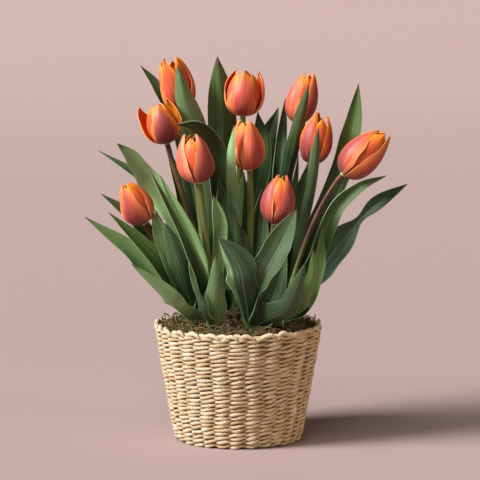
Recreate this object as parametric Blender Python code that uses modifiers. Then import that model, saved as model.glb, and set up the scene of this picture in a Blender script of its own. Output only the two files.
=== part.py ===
"""Potted tulip: ten flamed tulips with their leaves, forced from bulbs in a plastic liner of soil that
stands in a twined straw basket under a layer of moss. Metres, +Z up, origin under the basket's middle."""

import math
from collections import namedtuple

import bmesh
import bpy
from mathutils import Matrix, Quaternion, Vector, noise
from mathutils.geometry import interpolate_bezier

MM = 0.001
GAP = 0.3 * MM  # clearance left between pieces that touch

# Basket: outer radius at each height, from the table up to the rim.
BASKET_PROFILE = (
    (66.4, 2.7), (68.4, 7.0), (72.1, 28.6), (74.9, 44.7), (79.4, 69.4), (83.6, 93.0), (87.0, 118.0),
)
BASKET_FOOT_RADIUS = 60.0 * MM
BASKET_WALL = 5.5 * MM
BASKET_FLOOR = 5.0 * MM
BASKET_RIM = 119.5 * MM
STAKES = 28
WEAVE_ROWS = 7
WEAVE_RELIEF = 1.7 * MM
RIM_SCALLOP = 1.1 * MM

# Liner and what fills it.
LINER_WALL = 1.2 * MM
LINER_TOP = 108.0 * MM
SOIL_TOP = 107.4 * MM
MOSS_EDGE = 119.5 * MM
MOSS_MIDDLE = 127.0 * MM
MOSS_LUMP = 2.2 * MM
MOSS_DIP = 6.5 * MM
MOSS_DIP_RADIUS = 10.0 * MM

# Bulbs, stems, leaves and petals.
BULB_RADIUS = 14.5 * MM
BULB_FOOT = 72.0 * MM
BULB_NOSE = 104.0 * MM
BULB_HOLE = 15.9 * MM
STEM_ROOT_RADIUS = 4.3 * MM
STEM_NECK_RADIUS = 3.1 * MM
STEM_HOLE = 6.4 * MM
STEM_STRAIGHT = 130.0 * MM
STEM_SWEEP = 0.36  # reach of the curve handles of a stem, as a share of its height
STEM_POINTS = 6
ROW_SPACING = 0.88  # below 1, a blade's rows of faces draw closer towards its tip
LEAF_THICKNESS = 0.8 * MM
LEAF_SPAN = 0.32  # width of a leaf where it clasps the stem, as a share of its widest
CLASP = math.radians(70)  # half angle that the foot of a leaf wraps round the stem
PETAL_THICKNESS = 0.8 * MM
PETAL_ARC = 0.96  # half width of a petal at its widest, in bloom radii
INNER_PETAL_INSET = 2.3 * MM

# A leaf clasps its stem on one side, at a height, and its midrib runs through the points of its route to
# the last one, its tip. The blade's inner side looks along faces, an azimuth and an elevation, and turns by
# twist towards the tip. cup is how far each half bends up, wave the ripple of its edge and belly the share
# of its length where it is widest.
LEAF_FIELDS = "side height route width faces cup wave belly twist"
Leaf = namedtuple("Leaf", LEAF_FIELDS, defaults=(28, 1.5, 0.5, 0))
# A bloom stands on its stem at foot and reaches to top. Its petals start at spin and stand 60 degrees
# apart, outer and inner in turn, and each leans out by its share of opening.
Bloom = namedtuple("Bloom", "foot top radius spin opening")
Plant = namedtuple("Plant", "place bloom leaves")

PLANTS = (
    Plant(
        (-34, 42),
        Bloom((-57, 38, 342), (-74, 36, 401), 18.5, -70, (0.15, 0.1, 0.2, 0.1, 0.15, 0.15)),
        (
            Leaf(
                150, 140, ((-46, 56, 240), (-66, 62, 330), (-86, 60, 368), (-104, 58, 390)),
                18, (-100, 10),
            ),
            Leaf(
                -40, 128, ((-30, 26, 240), (-42, 18, 322), (-56, 12, 360), (-63, 13, 393)),
                26, (110, 5), 24, 1, 0.62,
            ),
            Leaf(100, 118, ((-52, 74, 230), (-78, 86, 300)), 32, (-75, 30)),
            Leaf(200, 123, ((-78, 50, 205), (-118, 56, 262)), 28, (-20, 35)),
        ),
    ),
    Plant(
        (-22, 4),
        Bloom((-74, 8, 310), (-85, 6, 356), 18.0, -85, (0.25, 0.9, 0.4, 0.3, 1.3, 0.5)),
        (
            Leaf(160, 134, ((-60, 10, 215), (-103, 6, 273), (-147, 14, 303)), 20, (-60, 40), 30, 2, 0.45),
            Leaf(
                200, 119, ((-50, -2, 205), (-82, -4, 258), (-104, -10, 287), (-125, -20, 313)),
                27, (-80, 25), 25, 3, 0.6, 60,
            ),
            Leaf(
                20, 128, ((-14, 8, 230), (-24, -8, 302), (-40, -26, 330), (-63, -34, 334)),
                26, (-90, -20), 30, 2, 0.6,
            ),
            Leaf(190, 124, ((-74, -6, 208), (-87, -6, 243)), 18, (-80, 10)),
        ),
    ),
    Plant(
        (-25, -48),
        Bloom((-40, -50, 274), (-47, -54, 327), 19.0, -30, (0.2, 0.1, 0.15, 0.1, 0.2, 0.3)),
        (
            Leaf(190, 120, ((-52, -64, 212), (-90, -64, 289)), 17, (-40, 20), 30, 1, 0.45),
            Leaf(140, 126, ((-47, -48, 215), (-80, -46, 282)), 20, (-80, 15), 30, 1, 0.45),
            Leaf(-100, 116, ((-22, -74, 166), (-23, -82, 204)), 25, (90, 10), 35),
            Leaf(30, 136, ((-19, -42, 225), (-24, -44, 264)), 14, (-60, 0)),
            Leaf(-130, 118, ((-38, -69, 150), (-46, -73, 176)), 12, (60, 10)),
        ),
    ),
    Plant(
        (-46, -20),
        Bloom((-96, -35, 231), (-117, -42, 275), 17.5, -20, (0.1, 0.1, 0.1, 0.1, 0.1, 0.1)),
        (
            Leaf(-130, 117, ((-72, -56, 156), (-108, -74, 194)), 30, (60, 20), 28, 1.5, 0.45),
            Leaf(200, 126, ((-86, -40, 196), (-133, -46, 244)), 27, (-85, 30), 30, 1.5, 0.45),
            Leaf(160, 120, ((-108, -16, 196), (-159, -24, 237)), 28, (-90, 35), 30, 1.5, 0.42),
            Leaf(120, 134, ((-100, -20, 225), (-142, -22, 261)), 22, (-80, 30)),
            Leaf(-80, 121, ((-60, -48, 187), (-75, -51, 234)), 24, (80, 5), 30),
        ),
    ),
    Plant(
        (-4, 52),
        Bloom((5, 28, 337), (8, 28, 389), 19.5, -90, (0.3, 0.35, 0.7, 0.3, 0.7, 0.35)),
        (
            Leaf(-160, 121, ((-16, 48, 250), (-18, 50, 338), (-22, 46, 400)), 34, (-85, 0), 34, 1, 0.6),
            Leaf(-20, 136, ((25, 50, 290), (21, 54, 341)), 26, (-100, 5), 30, 1, 0.6),
            Leaf(90, 117, ((-10, 84, 220), (-22, 104, 290)), 34, (-90, 25)),
            Leaf(-80, 128, ((2, 30, 210), (6, 22, 280)), 30, (90, 0), 30, 1.5, 0.55),
        ),
    ),
    Plant(
        (10, -6),
        Bloom((12, -25, 285), (8, -27, 340), 18.0, -60, (0.15, 0.2, 0.1, 0.1, 0.2, 0.3)),
        (
            Leaf(170, 136, ((-6, -22, 235), (-11, -44, 296), (-4, -44, 334)), 16, (50, 0), 30, 0.5, 0.6),
            Leaf(-165, 120, ((-12, -24, 228), (-20, -30, 278)), 24, (-90, 10), 30, 2),
            Leaf(-90, 127, ((5, -38, 199), (-2, -46, 235)), 26, (100, 10), 30, 2, 0.6),
        ),
    ),
    Plant(
        (33, 45),
        Bloom((61, 32, 330), (76, 34, 386), 16.5, -50, (0.15, 0.1, 0.2, 0.1, 0.1, 0.25)),
        (
            Leaf(-170, 138, ((44, 36, 290), (50, 42, 356)), 15, (-90, 0), 30, 0.5, 0.6),
            Leaf(150, 122, ((28, 60, 290), (43, 66, 345)), 26, (-95, 5), 30, 1, 0.6),
            Leaf(
                -60, 130, ((51, 26, 270), (58, 17, 308), (66, 9, 342), (74, 6, 373)),
                17, (90, 0), 30, 0.5, 0.6,
            ),
            Leaf(60, 117, ((62, 74, 220), (84, 88, 300)), 32, (-110, 25)),
        ),
    ),
    Plant(
        (53, 12),
        Bloom((77, 2, 289), (86, 2, 344), 16.5, -10, (0.3, 0.1, 0.1, 0.1, 0.2, 0.35)),
        (
            Leaf(-70, 132, ((68, -8, 225), (77, -20, 275), (83, -24, 330)), 16, (100, 0), 30, 0.5, 0.6),
            Leaf(180, 120, ((53, 4, 220), (63, 0, 300)), 20, (-60, 0)),
            Leaf(50, 118, ((84, 44, 200), (108, 58, 270)), 30, (-150, 30)),
            Leaf(
                0, 126, ((76, 10, 205), (104, 14, 270), (120, 14, 326), (126, 12, 373)),
                25, (-100, 0), 30, 1, 0.68,
            ),
        ),
    ),
    Plant(
        (49, -26),
        Bloom((108, -20, 280), (153, -24, 326), 19.5, 15, (0.2, 0.15, 0.2, 0.1, 0.2, 0.1)),
        (
            Leaf(-50, 117, ((78, -48, 168), (77, -56, 208)), 16, (110, 0)),
            Leaf(
                -20, 128, ((80, -30, 190), (98, -29, 236), (125, -28, 262), (153, -26, 280)),
                23, (-90, 20), 30, 1, 0.5,
            ),
            Leaf(
                20, 121, ((86, -6, 175), (112, -2, 219), (138, -4, 241), (176, -12, 270)),
                33, (-90, 20), 25, 3, 0.5, 150,
            ),
        ),
    ),
    Plant(
        (14, -52),
        Bloom((37, -62, 233), (46, -66, 285), 17.5, -40, (0.15, 0.1, 0.1, 0.1, 0.15, 0.2)),
        (
            Leaf(-140, 117, ((6, -82, 170), (0, -88, 196), (-20, -90, 224)), 34, (80, 10), 30, 2, 0.66),
            Leaf(
                -30, 123, ((29, -76, 170), (42, -82, 206), (59, -84, 251)),
                30, (-100, 15), 32, 1.5, 0.62,
            ),
            Leaf(-70, 119, ((46, -82, 150), (68, -98, 199)), 28, (90, 25), 28, 1.5, 0.5),
        ),
    ),
)

STRAW = (0.62, 0.44, 0.24)
LINER_BLACK = (0.03, 0.03, 0.03)
SOIL_BROWN = (0.05, 0.03, 0.02)
MOSS_BROWN = (0.10, 0.07, 0.03)
BULB_TAN = (0.45, 0.24, 0.10)
LEAF_GREEN = (0.10, 0.22, 0.08)
PETAL_ORANGE = (0.86, 0.20, 0.07)


def clear_scene():
    """Remove what the scene holds."""
    for found in list(bpy.data.objects):
        bpy.data.objects.remove(found, do_unlink=True)


def new_collection(name):
    """A collection linked under the scene."""
    collection = bpy.data.collections.new(name)
    bpy.context.scene.collection.children.link(collection)
    return collection


def new_material(name, colour, roughness, metallic=0.0):
    """A Principled material of one colour."""
    material = bpy.data.materials.new(name)
    material.use_nodes = True
    shader = material.node_tree.nodes["Principled BSDF"]
    shader.inputs["Base Color"].default_value = (*colour, 1.0)
    shader.inputs["Roughness"].default_value = roughness
    shader.inputs["Metallic"].default_value = metallic
    return material


def new_object(name, mesh, collection, material=None):
    """An object that shows a mesh, in a collection."""
    made = bpy.data.objects.new(name, mesh)
    collection.objects.link(made)
    if material is not None:
        mesh.materials.clear()
        mesh.materials.append(material)
    return made


def mesh_of(bm, name):
    """A mesh datablock filled from a bmesh, which is freed."""
    bmesh.ops.recalc_face_normals(bm, faces=bm.faces[:])
    mesh = bpy.data.meshes.new(name)
    bm.to_mesh(mesh)
    bm.free()
    return mesh


def settle(target):
    """Apply an object's modifiers, or a curve's bevel, and weld the seams."""
    bpy.context.view_layer.update()
    evaluated = target.evaluated_get(bpy.context.evaluated_depsgraph_get())
    mesh = bpy.data.meshes.new_from_object(evaluated)
    bm = bmesh.new()
    bm.from_mesh(mesh)
    bmesh.ops.remove_doubles(bm, verts=bm.verts[:], dist=0.000001)
    bm.to_mesh(mesh)
    bm.free()
    settled = bpy.data.objects.new(target.name, mesh)
    settled.matrix_world = target.matrix_world
    target.users_collection[0].objects.link(settled)
    name = target.name
    bpy.data.objects.remove(target, do_unlink=True)
    settled.name = name
    return settled


def tidied(target):
    """Fill the hollows that a Boolean sealed, drop its scraps and split what is left into triangles."""
    bm = bmesh.new()
    bm.from_mesh(target.data)
    waiting = set(bm.verts)
    shells = []
    while waiting:
        edge = [waiting.pop()]
        shell = set(edge)
        while edge:
            reached = {link.other_vert(vertex) for vertex in edge for link in vertex.link_edges}
            edge = list(reached & waiting)
            waiting.difference_update(edge)
            shell.update(edge)
        shells.append(shell)
    shells.sort(key=len)
    for shell in shells[:-1]:
        bmesh.ops.delete(bm, geom=list(shell), context="VERTS")
    on_edges = [vertex for vertex in bm.verts if len(vertex.link_edges) == 2]
    bmesh.ops.dissolve_verts(bm, verts=on_edges)
    bmesh.ops.triangulate(bm, faces=bm.faces[:])
    bm.to_mesh(target.data)
    bm.free()
    return target


def joined(target, pieces, operation, collection_name):
    """Unite an object with a collection of pieces, or cut them from it, and remove the pieces."""
    group = new_collection(collection_name)
    for piece in pieces:
        for holder in list(piece.users_collection):
            holder.objects.unlink(piece)
        group.objects.link(piece)
    boolean = target.modifiers.new(operation.title(), "BOOLEAN")
    boolean.operation = operation
    boolean.operand_type = "COLLECTION"
    boolean.collection = group
    boolean.solver = "EXACT"
    result = tidied(settle(target))
    for piece in pieces:
        bpy.data.objects.remove(piece, do_unlink=True)
    bpy.data.collections.remove(group)
    return result


def shade(target, angle):
    """Smooth shading with sharp edges past an angle."""
    target.data.shade_smooth()
    target.data.set_sharp_from_angle(angle=math.radians(angle))


def smoothstep(value):
    """0 below 0, 1 above 1 and an even ease between."""
    value = min(max(value, 0.0), 1.0)
    return value * value * (3 - 2 * value)


def direction(azimuth, elevation=0.0):
    """The unit vector at an azimuth from +X and an elevation, both in degrees."""
    turn = math.radians(azimuth)
    rise = math.radians(elevation)
    return Vector((math.cos(turn) * math.cos(rise), math.sin(turn) * math.cos(rise), math.sin(rise)))


def basket_radius(height):
    """Outer radius of the basket's wall at a height."""
    points = [(radius * MM, level * MM) for radius, level in BASKET_PROFILE]
    for (low_radius, low), (high_radius, high) in zip(points, points[1:]):
        if height <= high:
            share = max(0.0, (height - low) / (high - low))
            return low_radius + (high_radius - low_radius) * share
    return points[-1][0]


def liner_radius(height):
    """Outer radius of the liner, just inside the basket's wall."""
    return basket_radius(height) - BASKET_WALL - GAP


def turned(name, profile, steps, collection, material):
    """A solid turned from a profile of (radius, height) that ends on the axis."""
    mesh = bpy.data.meshes.new(name)
    edges = [(index, index + 1) for index in range(len(profile) - 1)]
    mesh.from_pydata([(radius, 0, height) for radius, height in profile], edges, [])
    made = new_object(name, mesh, collection, material)
    screw = made.modifiers.new("Screw", "SCREW")
    screw.steps = steps
    screw.render_steps = steps
    screw.use_merge_vertices = True
    screw.merge_threshold = 0.00005
    return settle(made)


def cylinder(name, place, radius, low, high, sides, collection):
    """An upright cylinder between two heights, made as a cutter."""
    bm = bmesh.new()
    shift = Matrix.Translation((place[0], place[1], (low + high) / 2))
    bmesh.ops.create_cone(
        bm, cap_ends=True, segments=sides, radius1=radius, radius2=radius, depth=high - low, matrix=shift
    )
    made = new_object(name, mesh_of(bm, name), collection)
    made.hide_render = True
    made.display_type = "WIRE"
    return made


def weave(angle, height):
    """How far the twined strands stand out from the wall: a bump between each two stakes in each row."""
    column = 0.5 + 0.5 * math.cos(STAKES * angle)
    share = (height - BASKET_FLOOR) / (BASKET_RIM - BASKET_FLOOR)
    row = 0.5 - 0.5 * math.cos(2 * math.pi * WEAVE_ROWS * share)
    return WEAVE_RELIEF * (0.25 + 0.75 * column) * row


def make_basket(collection, material):
    """The twined basket: a thick wall and floor with the weave in relief and a scalloped rim."""
    levels = 2 * WEAVE_ROWS
    rise = BASKET_RIM - BASKET_FLOOR
    outer = [BASKET_FLOOR + rise * step / levels for step in range(levels, -1, -1)]
    inner = [BASKET_FLOOR + rise * step / 2 for step in range(2)]
    profile = [(basket_radius(height) - BASKET_WALL, height) for height in inner]
    profile = [(0, BASKET_FLOOR)] + profile
    profile.append((basket_radius(BASKET_RIM) - BASKET_WALL, BASKET_RIM))
    profile.append((basket_radius(BASKET_RIM) - BASKET_WALL * 0.4, BASKET_RIM + RIM_SCALLOP))
    profile += [(basket_radius(height) - WEAVE_RELIEF * 0.5, height) for height in outer]
    profile += [(BASKET_FOOT_RADIUS, 0), (0, 0)]
    made = turned("basket", profile, 2 * STAKES, collection, material)
    bm = bmesh.new()
    bm.from_mesh(made.data)
    for vertex in bm.verts:
        radius = math.hypot(vertex.co.x, vertex.co.y)
        height = vertex.co.z
        angle = math.atan2(vertex.co.y, vertex.co.x)
        on_wall = radius > basket_radius(height) - WEAVE_RELIEF
        if on_wall and BASKET_FLOOR < height < BASKET_RIM - MM:
            stretch = (radius + weave(angle, height)) / radius
            vertex.co.x *= stretch
            vertex.co.y *= stretch
        elif height > BASKET_RIM + MM:
            vertex.co.z += RIM_SCALLOP * math.cos(STAKES * angle)
    bm.to_mesh(made.data)
    bm.free()
    shade(made, 50)
    return made


def make_liner(collection, material):
    """The thin plastic pot that keeps the soil off the basket."""
    foot = BASKET_FLOOR + GAP
    profile = [
        (0, foot + LINER_WALL),
        (liner_radius(foot) - LINER_WALL, foot + LINER_WALL),
        (liner_radius(LINER_TOP) - LINER_WALL, LINER_TOP),
        (liner_radius(LINER_TOP) - 0.5 * MM, LINER_TOP),
        (liner_radius(60 * MM) - 0.5 * MM, 60 * MM),
        (liner_radius(foot) - 0.5 * MM, foot),
        (0, foot),
    ]
    profile.insert(2, (liner_radius(60 * MM) - LINER_WALL, 60 * MM))
    made = turned("grow_pot", profile, 24, collection, material)
    shade(made, 40)
    return made


def make_soil(collection, cutters, material):
    """The soil, with a plain hole round each bulb."""
    foot = BASKET_FLOOR + GAP + LINER_WALL + GAP
    side = LINER_WALL + GAP
    profile = [
        (0, SOIL_TOP),
        (liner_radius(SOIL_TOP) - side - 0.7 * MM, SOIL_TOP),
        (liner_radius(60 * MM) - side - 0.7 * MM, 60 * MM),
        (liner_radius(foot) - side - 0.7 * MM, foot),
        (0, foot),
    ]
    made = turned("soil", profile, 24, collection, material)
    holes = []
    for number, plant in enumerate(PLANTS, 1):
        place = [value * MM for value in plant.place]
        low, high = BULB_FOOT - GAP, SOIL_TOP + 5 * MM
        holes.append(cylinder(f"bulb_hole_{number:02d}", place, BULB_HOLE, low, high, 10, cutters))
    made = joined(made, holes, "DIFFERENCE", "bulb_holes")
    shade(made, 40)
    return made


def moss_height(x, y):
    """Top of the moss: a low lumpy mound that dips round each shoot."""
    share = math.hypot(x, y) / liner_radius(MOSS_EDGE)
    height = MOSS_MIDDLE + (MOSS_EDGE - MOSS_MIDDLE) * share**2
    height += MOSS_LUMP * noise.noise(Vector((x, y, 0)) / (11 * MM))
    for plant in PLANTS:
        reach = math.hypot(x - plant.place[0] * MM, y - plant.place[1] * MM) / MOSS_DIP_RADIUS
        height -= MOSS_DIP * math.exp(-reach * reach)
    return height


def make_moss(collection, cutters, material):
    """The moss that covers the soil, with a plain hole for each shoot."""
    foot = LINER_TOP + GAP
    rings = 6
    edge = liner_radius(foot) - GAP
    profile = [(edge * ring / rings, MOSS_EDGE) for ring in range(rings)]
    profile += [(liner_radius(MOSS_EDGE) - GAP, MOSS_EDGE - 2 * MM), (edge, foot), (0, foot)]
    made = turned("moss", profile, 24, collection, material)
    for vertex in made.data.vertices:
        if vertex.co.z > foot + MM:
            vertex.co.z = moss_height(vertex.co.x, vertex.co.y)
    holes = []
    for number, plant in enumerate(PLANTS, 1):
        place = [value * MM for value in plant.place]
        low, high = SOIL_TOP, MOSS_MIDDLE + 8 * MM
        holes.append(cylinder(f"shoot_hole_{number:02d}", place, STEM_HOLE, low, high, 8, cutters))
    made = joined(made, holes, "DIFFERENCE", "shoot_holes")
    shade(made, 50)
    return made


def make_bulb(number, plant, collection, material):
    """A bulb with a flat root plate and a flat nose that the shoot stands on."""
    tall = BULB_NOSE - BULB_FOOT
    profile = [(0, BULB_NOSE), (4.6 * MM, BULB_NOSE)]
    for share, width in ((0.75, 0.65), (0.4, 1.0), (0.12, 0.85)):
        profile.append((BULB_RADIUS * width, BULB_FOOT + tall * share))
    profile += [(BULB_RADIUS * 0.45, BULB_FOOT), (0, BULB_FOOT)]
    made = turned(f"bulb_{number:02d}", profile, 9, collection, material)
    made.location = (plant.place[0] * MM, plant.place[1] * MM, 0)
    shade(made, 60)
    return made


def bloom_axis(bloom):
    """Foot, unit axis and length of a bloom."""
    foot = Vector(bloom.foot) * MM
    span = Vector(bloom.top) * MM - foot
    return foot, span.normalized(), span.length


def stem_trail(plant):
    """Points along the stem's middle: straight up through the moss, then a smooth curve to the bloom."""
    foot, axis, _ = bloom_axis(plant.bloom)
    neck = foot - axis * GAP
    root = Vector((plant.place[0] * MM, plant.place[1] * MM, BULB_NOSE + GAP))
    bend = Vector((root.x, root.y, STEM_STRAIGHT))
    reach = (neck - bend).length * STEM_SWEEP
    rise = Vector((0, 0, reach))
    return [root] + interpolate_bezier(bend, bend + rise, neck - axis * reach, neck, STEM_POINTS)


def stem_place(plant, height):
    """Where the stem's middle is at a height."""
    trail = stem_trail(plant)
    for low, high in zip(trail, trail[1:]):
        if height <= high.z:
            return low.lerp(high, (height - low.z) / (high.z - low.z))
    return trail[-1]


def make_stem(name, plant, collection):
    """A round stem, thinner towards its neck."""
    curve = bpy.data.curves.new(name, "CURVE")
    curve.dimensions = "3D"
    curve.bevel_depth = STEM_ROOT_RADIUS
    curve.bevel_resolution = 1
    curve.use_fill_caps = True
    trail = stem_trail(plant)
    spline = curve.splines.new("POLY")
    spline.points.add(len(trail) - 1)
    for index, (point, place) in enumerate(zip(spline.points, trail)):
        point.co = (*place, 1)
        point.radius = 1 + (STEM_NECK_RADIUS / STEM_ROOT_RADIUS - 1) * index / (len(trail) - 1)
    return settle(new_object(name, curve, collection))


def route_point(points, share):
    """The point and tangent at a share of a smooth curve through the given points."""
    spans = len(points) - 1
    at = min(max(share, 0.0), 1.0) * spans
    index = min(int(at), spans - 1)
    t = at - index
    start, end = points[index], points[index + 1]
    before = points[index - 1] if index else start * 2 - end
    after = points[index + 2] if index + 2 <= spans else end * 2 - start
    leave = (end - before) / 2
    arrive = (after - start) / 2
    square, cube = t * t, t * t * t
    place = start * (2 * cube - 3 * square + 1) + leave * (cube - 2 * square + t)
    place += end * (3 * square - 2 * cube) + arrive * (cube - square)
    slope = (start - end) * (6 * square - 6 * t) + leave * (3 * square - 4 * t + 1)
    slope += arrive * (3 * square - 2 * t)
    return place, slope.normalized()


def leaf_width(share, belly):
    """Width of a blade along it, as a share of its widest: a clasping foot, a belly and a pointed tip."""
    if share < belly:
        return LEAF_SPAN + (1 - LEAF_SPAN) * math.sin(math.pi / 2 * share / belly)
    return max(0.05, 1 - ((share - belly) / (1 - belly)) ** 2)


def leaf_surface(leaf, plant):
    """A function from (share along, side -1 to 1) to a point of the leaf's middle surface."""
    axis = stem_place(plant, leaf.height * MM)
    clasp_side = direction(leaf.side)
    root = axis + clasp_side * STEM_ROOT_RADIUS * 0.55
    route = [Vector(point) * MM for point in leaf.route]
    reach = (route[0] - root).length
    collar = root + (route[0] - root) * 0.22 + Vector((0, 0, reach * 0.10))
    points = [root, collar, *route]
    blade_side = direction(*leaf.faces)

    def surface(share, side):
        place, along = route_point(points, share)
        turn = smoothstep(share / 0.5)
        facing = -clasp_side * (1 - turn) + blade_side * turn
        facing = (facing - along * facing.dot(along)).normalized()
        facing.rotate(Quaternion(along, math.radians(leaf.twist) * smoothstep((share - 0.55) / 0.35)))
        across = along.cross(facing)
        half = leaf.width * MM / 2 * leaf_width(share, leaf.belly)
        bend = CLASP + (math.radians(leaf.cup) - CLASP) * smoothstep(share / 0.45)
        radius = half / bend
        ripple = leaf.wave * MM * side * side * math.sin(2 * math.pi * (2.2 * share + leaf.side / 90))
        lift = radius * (1 - math.cos(side * bend)) + ripple * math.sin(math.pi * share)
        return place + across * radius * math.sin(side * bend) + facing * lift

    return surface


def make_blade(name, surface, rows, columns, thickness, collection):
    """A thin solid blade over a surface of (share along, side), triangulated alike on both faces."""
    bm = bmesh.new()
    bmesh.ops.create_grid(bm, x_segments=columns, y_segments=rows, size=0.5)
    for vertex in bm.verts:
        vertex.co = surface((vertex.co.y + 0.5) ** ROW_SPACING, 2 * vertex.co.x)
    bmesh.ops.triangulate(bm, faces=bm.faces[:])
    mesh = bpy.data.meshes.new(name)
    bm.to_mesh(mesh)
    bm.free()
    made = new_object(name, mesh, collection)
    solidify = made.modifiers.new("Solidify", "SOLIDIFY")
    solidify.thickness = thickness
    solidify.offset = 0
    return settle(made)


def make_leafy_stem(number, plant, collection, material):
    """One stem fused with its leaves."""
    name = f"leafy_stem_{number:02d}"
    stem = make_stem(name, plant, collection)
    leaves = []
    for order, leaf in enumerate(plant.leaves, 1):
        surface = leaf_surface(leaf, plant)
        rows = 3 + len(leaf.route)
        leaves.append(make_blade(f"{name}_leaf_{order}", surface, rows, 2, LEAF_THICKNESS, collection))
    made = joined(stem, leaves, "UNION", f"{name}_leaves")
    made.data.materials.clear()
    made.data.materials.append(material)
    shade(made, 50)
    return made


def petal_width(share):
    """Half width of a petal along it, as a share of its widest."""
    if share < 0.42:
        return 0.3 + 0.7 * math.sin(math.pi / 2 * share / 0.42)
    return max(0.06, 1 - ((share - 0.42) / 0.58) ** 2.3)


def petal_surface(bloom, order):
    """A function from (share along, side -1 to 1) to a point of one petal's middle surface."""
    foot, axis, tall = bloom_axis(bloom)
    inner = order % 2
    opening = bloom.opening[order]
    belly = bloom.radius * MM - INNER_PETAL_INSET * inner
    tip_height = tall * (0.97 if inner else 1.0)
    base = Vector((3.0 * MM - 0.8 * MM * inner, 1.4 * MM + 2.2 * MM * inner))
    low = Vector((belly * 1.22, tall * 0.05 + 2.2 * MM * inner))
    high = Vector((belly * (1.2 + 0.3 * opening), tall * 0.6))
    tip = Vector((belly * (0.12 + 1.0 * opening), tip_height))
    turn = Vector((0, 0, 1)).rotation_difference(axis)
    middle = math.radians(bloom.spin + 60 * order)

    def surface(share, side):
        back = 1 - share
        arc = base * back**3 + low * 3 * back**2 * share + high * 3 * back * share**2 + tip * share**3
        half = bloom.radius * MM * PETAL_ARC * petal_width(share)
        spread = min(half / max(arc.x, MM), math.radians(56))
        angle = middle + side * spread
        return foot + turn @ Vector((arc.x * math.cos(angle), arc.x * math.sin(angle), arc.y))

    return surface


def make_bloom(number, plant, collection, material):
    """Three outer and three inner petals fused to the receptacle at the stem's neck."""
    bloom = plant.bloom
    foot, axis, _ = bloom_axis(bloom)
    depth = 6.2 * MM
    bm = bmesh.new()
    bmesh.ops.create_cone(
        bm, cap_ends=True, segments=6, radius1=STEM_NECK_RADIUS * 1.05, radius2=5.0 * MM, depth=depth
    )
    place = Matrix.Translation(foot) @ Vector((0, 0, 1)).rotation_difference(axis).to_matrix().to_4x4()
    bmesh.ops.transform(bm, matrix=place @ Matrix.Translation((0, 0, depth / 2)), verts=bm.verts[:])
    name = f"bloom_{number:02d}"
    receptacle = new_object(name, mesh_of(bm, name), collection)
    petals = []
    for order in range(6):
        surface = petal_surface(bloom, order)
        columns = 2 if order % 2 else 3
        petal = make_blade(f"{name}_petal_{order + 1}", surface, 4, columns, PETAL_THICKNESS, collection)
        petals.append(petal)
    made = joined(receptacle, petals, "UNION", f"{name}_petals")
    made.data.materials.clear()
    made.data.materials.append(material)
    shade(made, 40)
    return made


def main():
    """Build the basket, what fills it and the ten plants."""
    clear_scene()
    parts = new_collection("potted_tulip")
    cutters = new_collection("cutters")
    make_basket(parts, new_material("straw", STRAW, 0.85))
    make_liner(parts, new_material("liner_plastic", LINER_BLACK, 0.5))
    make_soil(parts, cutters, new_material("soil", SOIL_BROWN, 1.0))
    make_moss(parts, cutters, new_material("moss", MOSS_BROWN, 1.0))
    bulb_skin = new_material("bulb_skin", BULB_TAN, 0.6)
    leaf_green = new_material("leaf_green", LEAF_GREEN, 0.5)
    petal_orange = new_material("petal_orange", PETAL_ORANGE, 0.45)
    for number, plant in enumerate(PLANTS, 1):
        make_bulb(number, plant, parts, bulb_skin)
        make_leafy_stem(number, plant, parts, leaf_green)
        make_bloom(number, plant, parts, petal_orange)


main()
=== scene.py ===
"""Potted tulip: the finished look of ten flamed tulips in moss in a twined straw basket, laid out as a
Blender add-on. Metres, +Z up, origin under the basket's middle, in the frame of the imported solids."""

import math
import random
from collections import namedtuple

import bpy
import numpy as np
from mathutils import Matrix, Quaternion, Vector, noise
from mathutils.geometry import interpolate_bezier


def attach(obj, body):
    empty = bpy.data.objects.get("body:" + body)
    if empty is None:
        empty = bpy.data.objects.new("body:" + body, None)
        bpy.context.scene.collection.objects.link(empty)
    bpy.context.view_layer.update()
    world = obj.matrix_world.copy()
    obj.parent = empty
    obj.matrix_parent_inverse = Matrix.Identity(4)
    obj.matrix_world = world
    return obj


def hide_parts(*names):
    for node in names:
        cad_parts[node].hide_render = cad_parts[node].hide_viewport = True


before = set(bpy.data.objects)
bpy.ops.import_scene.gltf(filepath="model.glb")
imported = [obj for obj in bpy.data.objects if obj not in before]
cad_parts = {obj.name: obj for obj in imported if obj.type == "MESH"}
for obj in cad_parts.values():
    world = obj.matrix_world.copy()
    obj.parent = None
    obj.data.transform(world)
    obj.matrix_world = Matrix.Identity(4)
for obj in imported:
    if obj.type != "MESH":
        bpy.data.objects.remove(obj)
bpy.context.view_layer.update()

bl_info = {
    "name": "Potted Tulip",
    "version": (1, 0, 0),
    "blender": (4, 5, 0),
    "location": "View3D > Sidebar > Tulip",
    "description": "Basket, moss, leafy stems and blooms of a potted tulip",
    "category": "Object",
}

MM = 0.001
TAU = 2 * math.pi
SEED = 11
GAP = 0.3 * MM  # clearance between pieces that touch

# Basket: its outer radius at each height, in millimetres, from the floor up to the rim.
BASKET_PROFILE = (
    (66.4, 2.7), (68.4, 7.0), (72.1, 28.6), (74.9, 44.7), (79.4, 69.4), (83.6, 93.0), (87.0, 118.0),
)
WALL_MIDDLE = 2.6 * MM  # depth of the wall's middle below its outer radius
FIRST_ROW = 2.9 * MM
LAST_ROW = 116.4 * MM
RIM_FOOT = 118.0 * MM
COLUMN_WANDER = 0.7  # sideways drift of the weave's columns, in radians where two stakes span a full turn
UNDERSIDE_ROWS = 17

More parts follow.
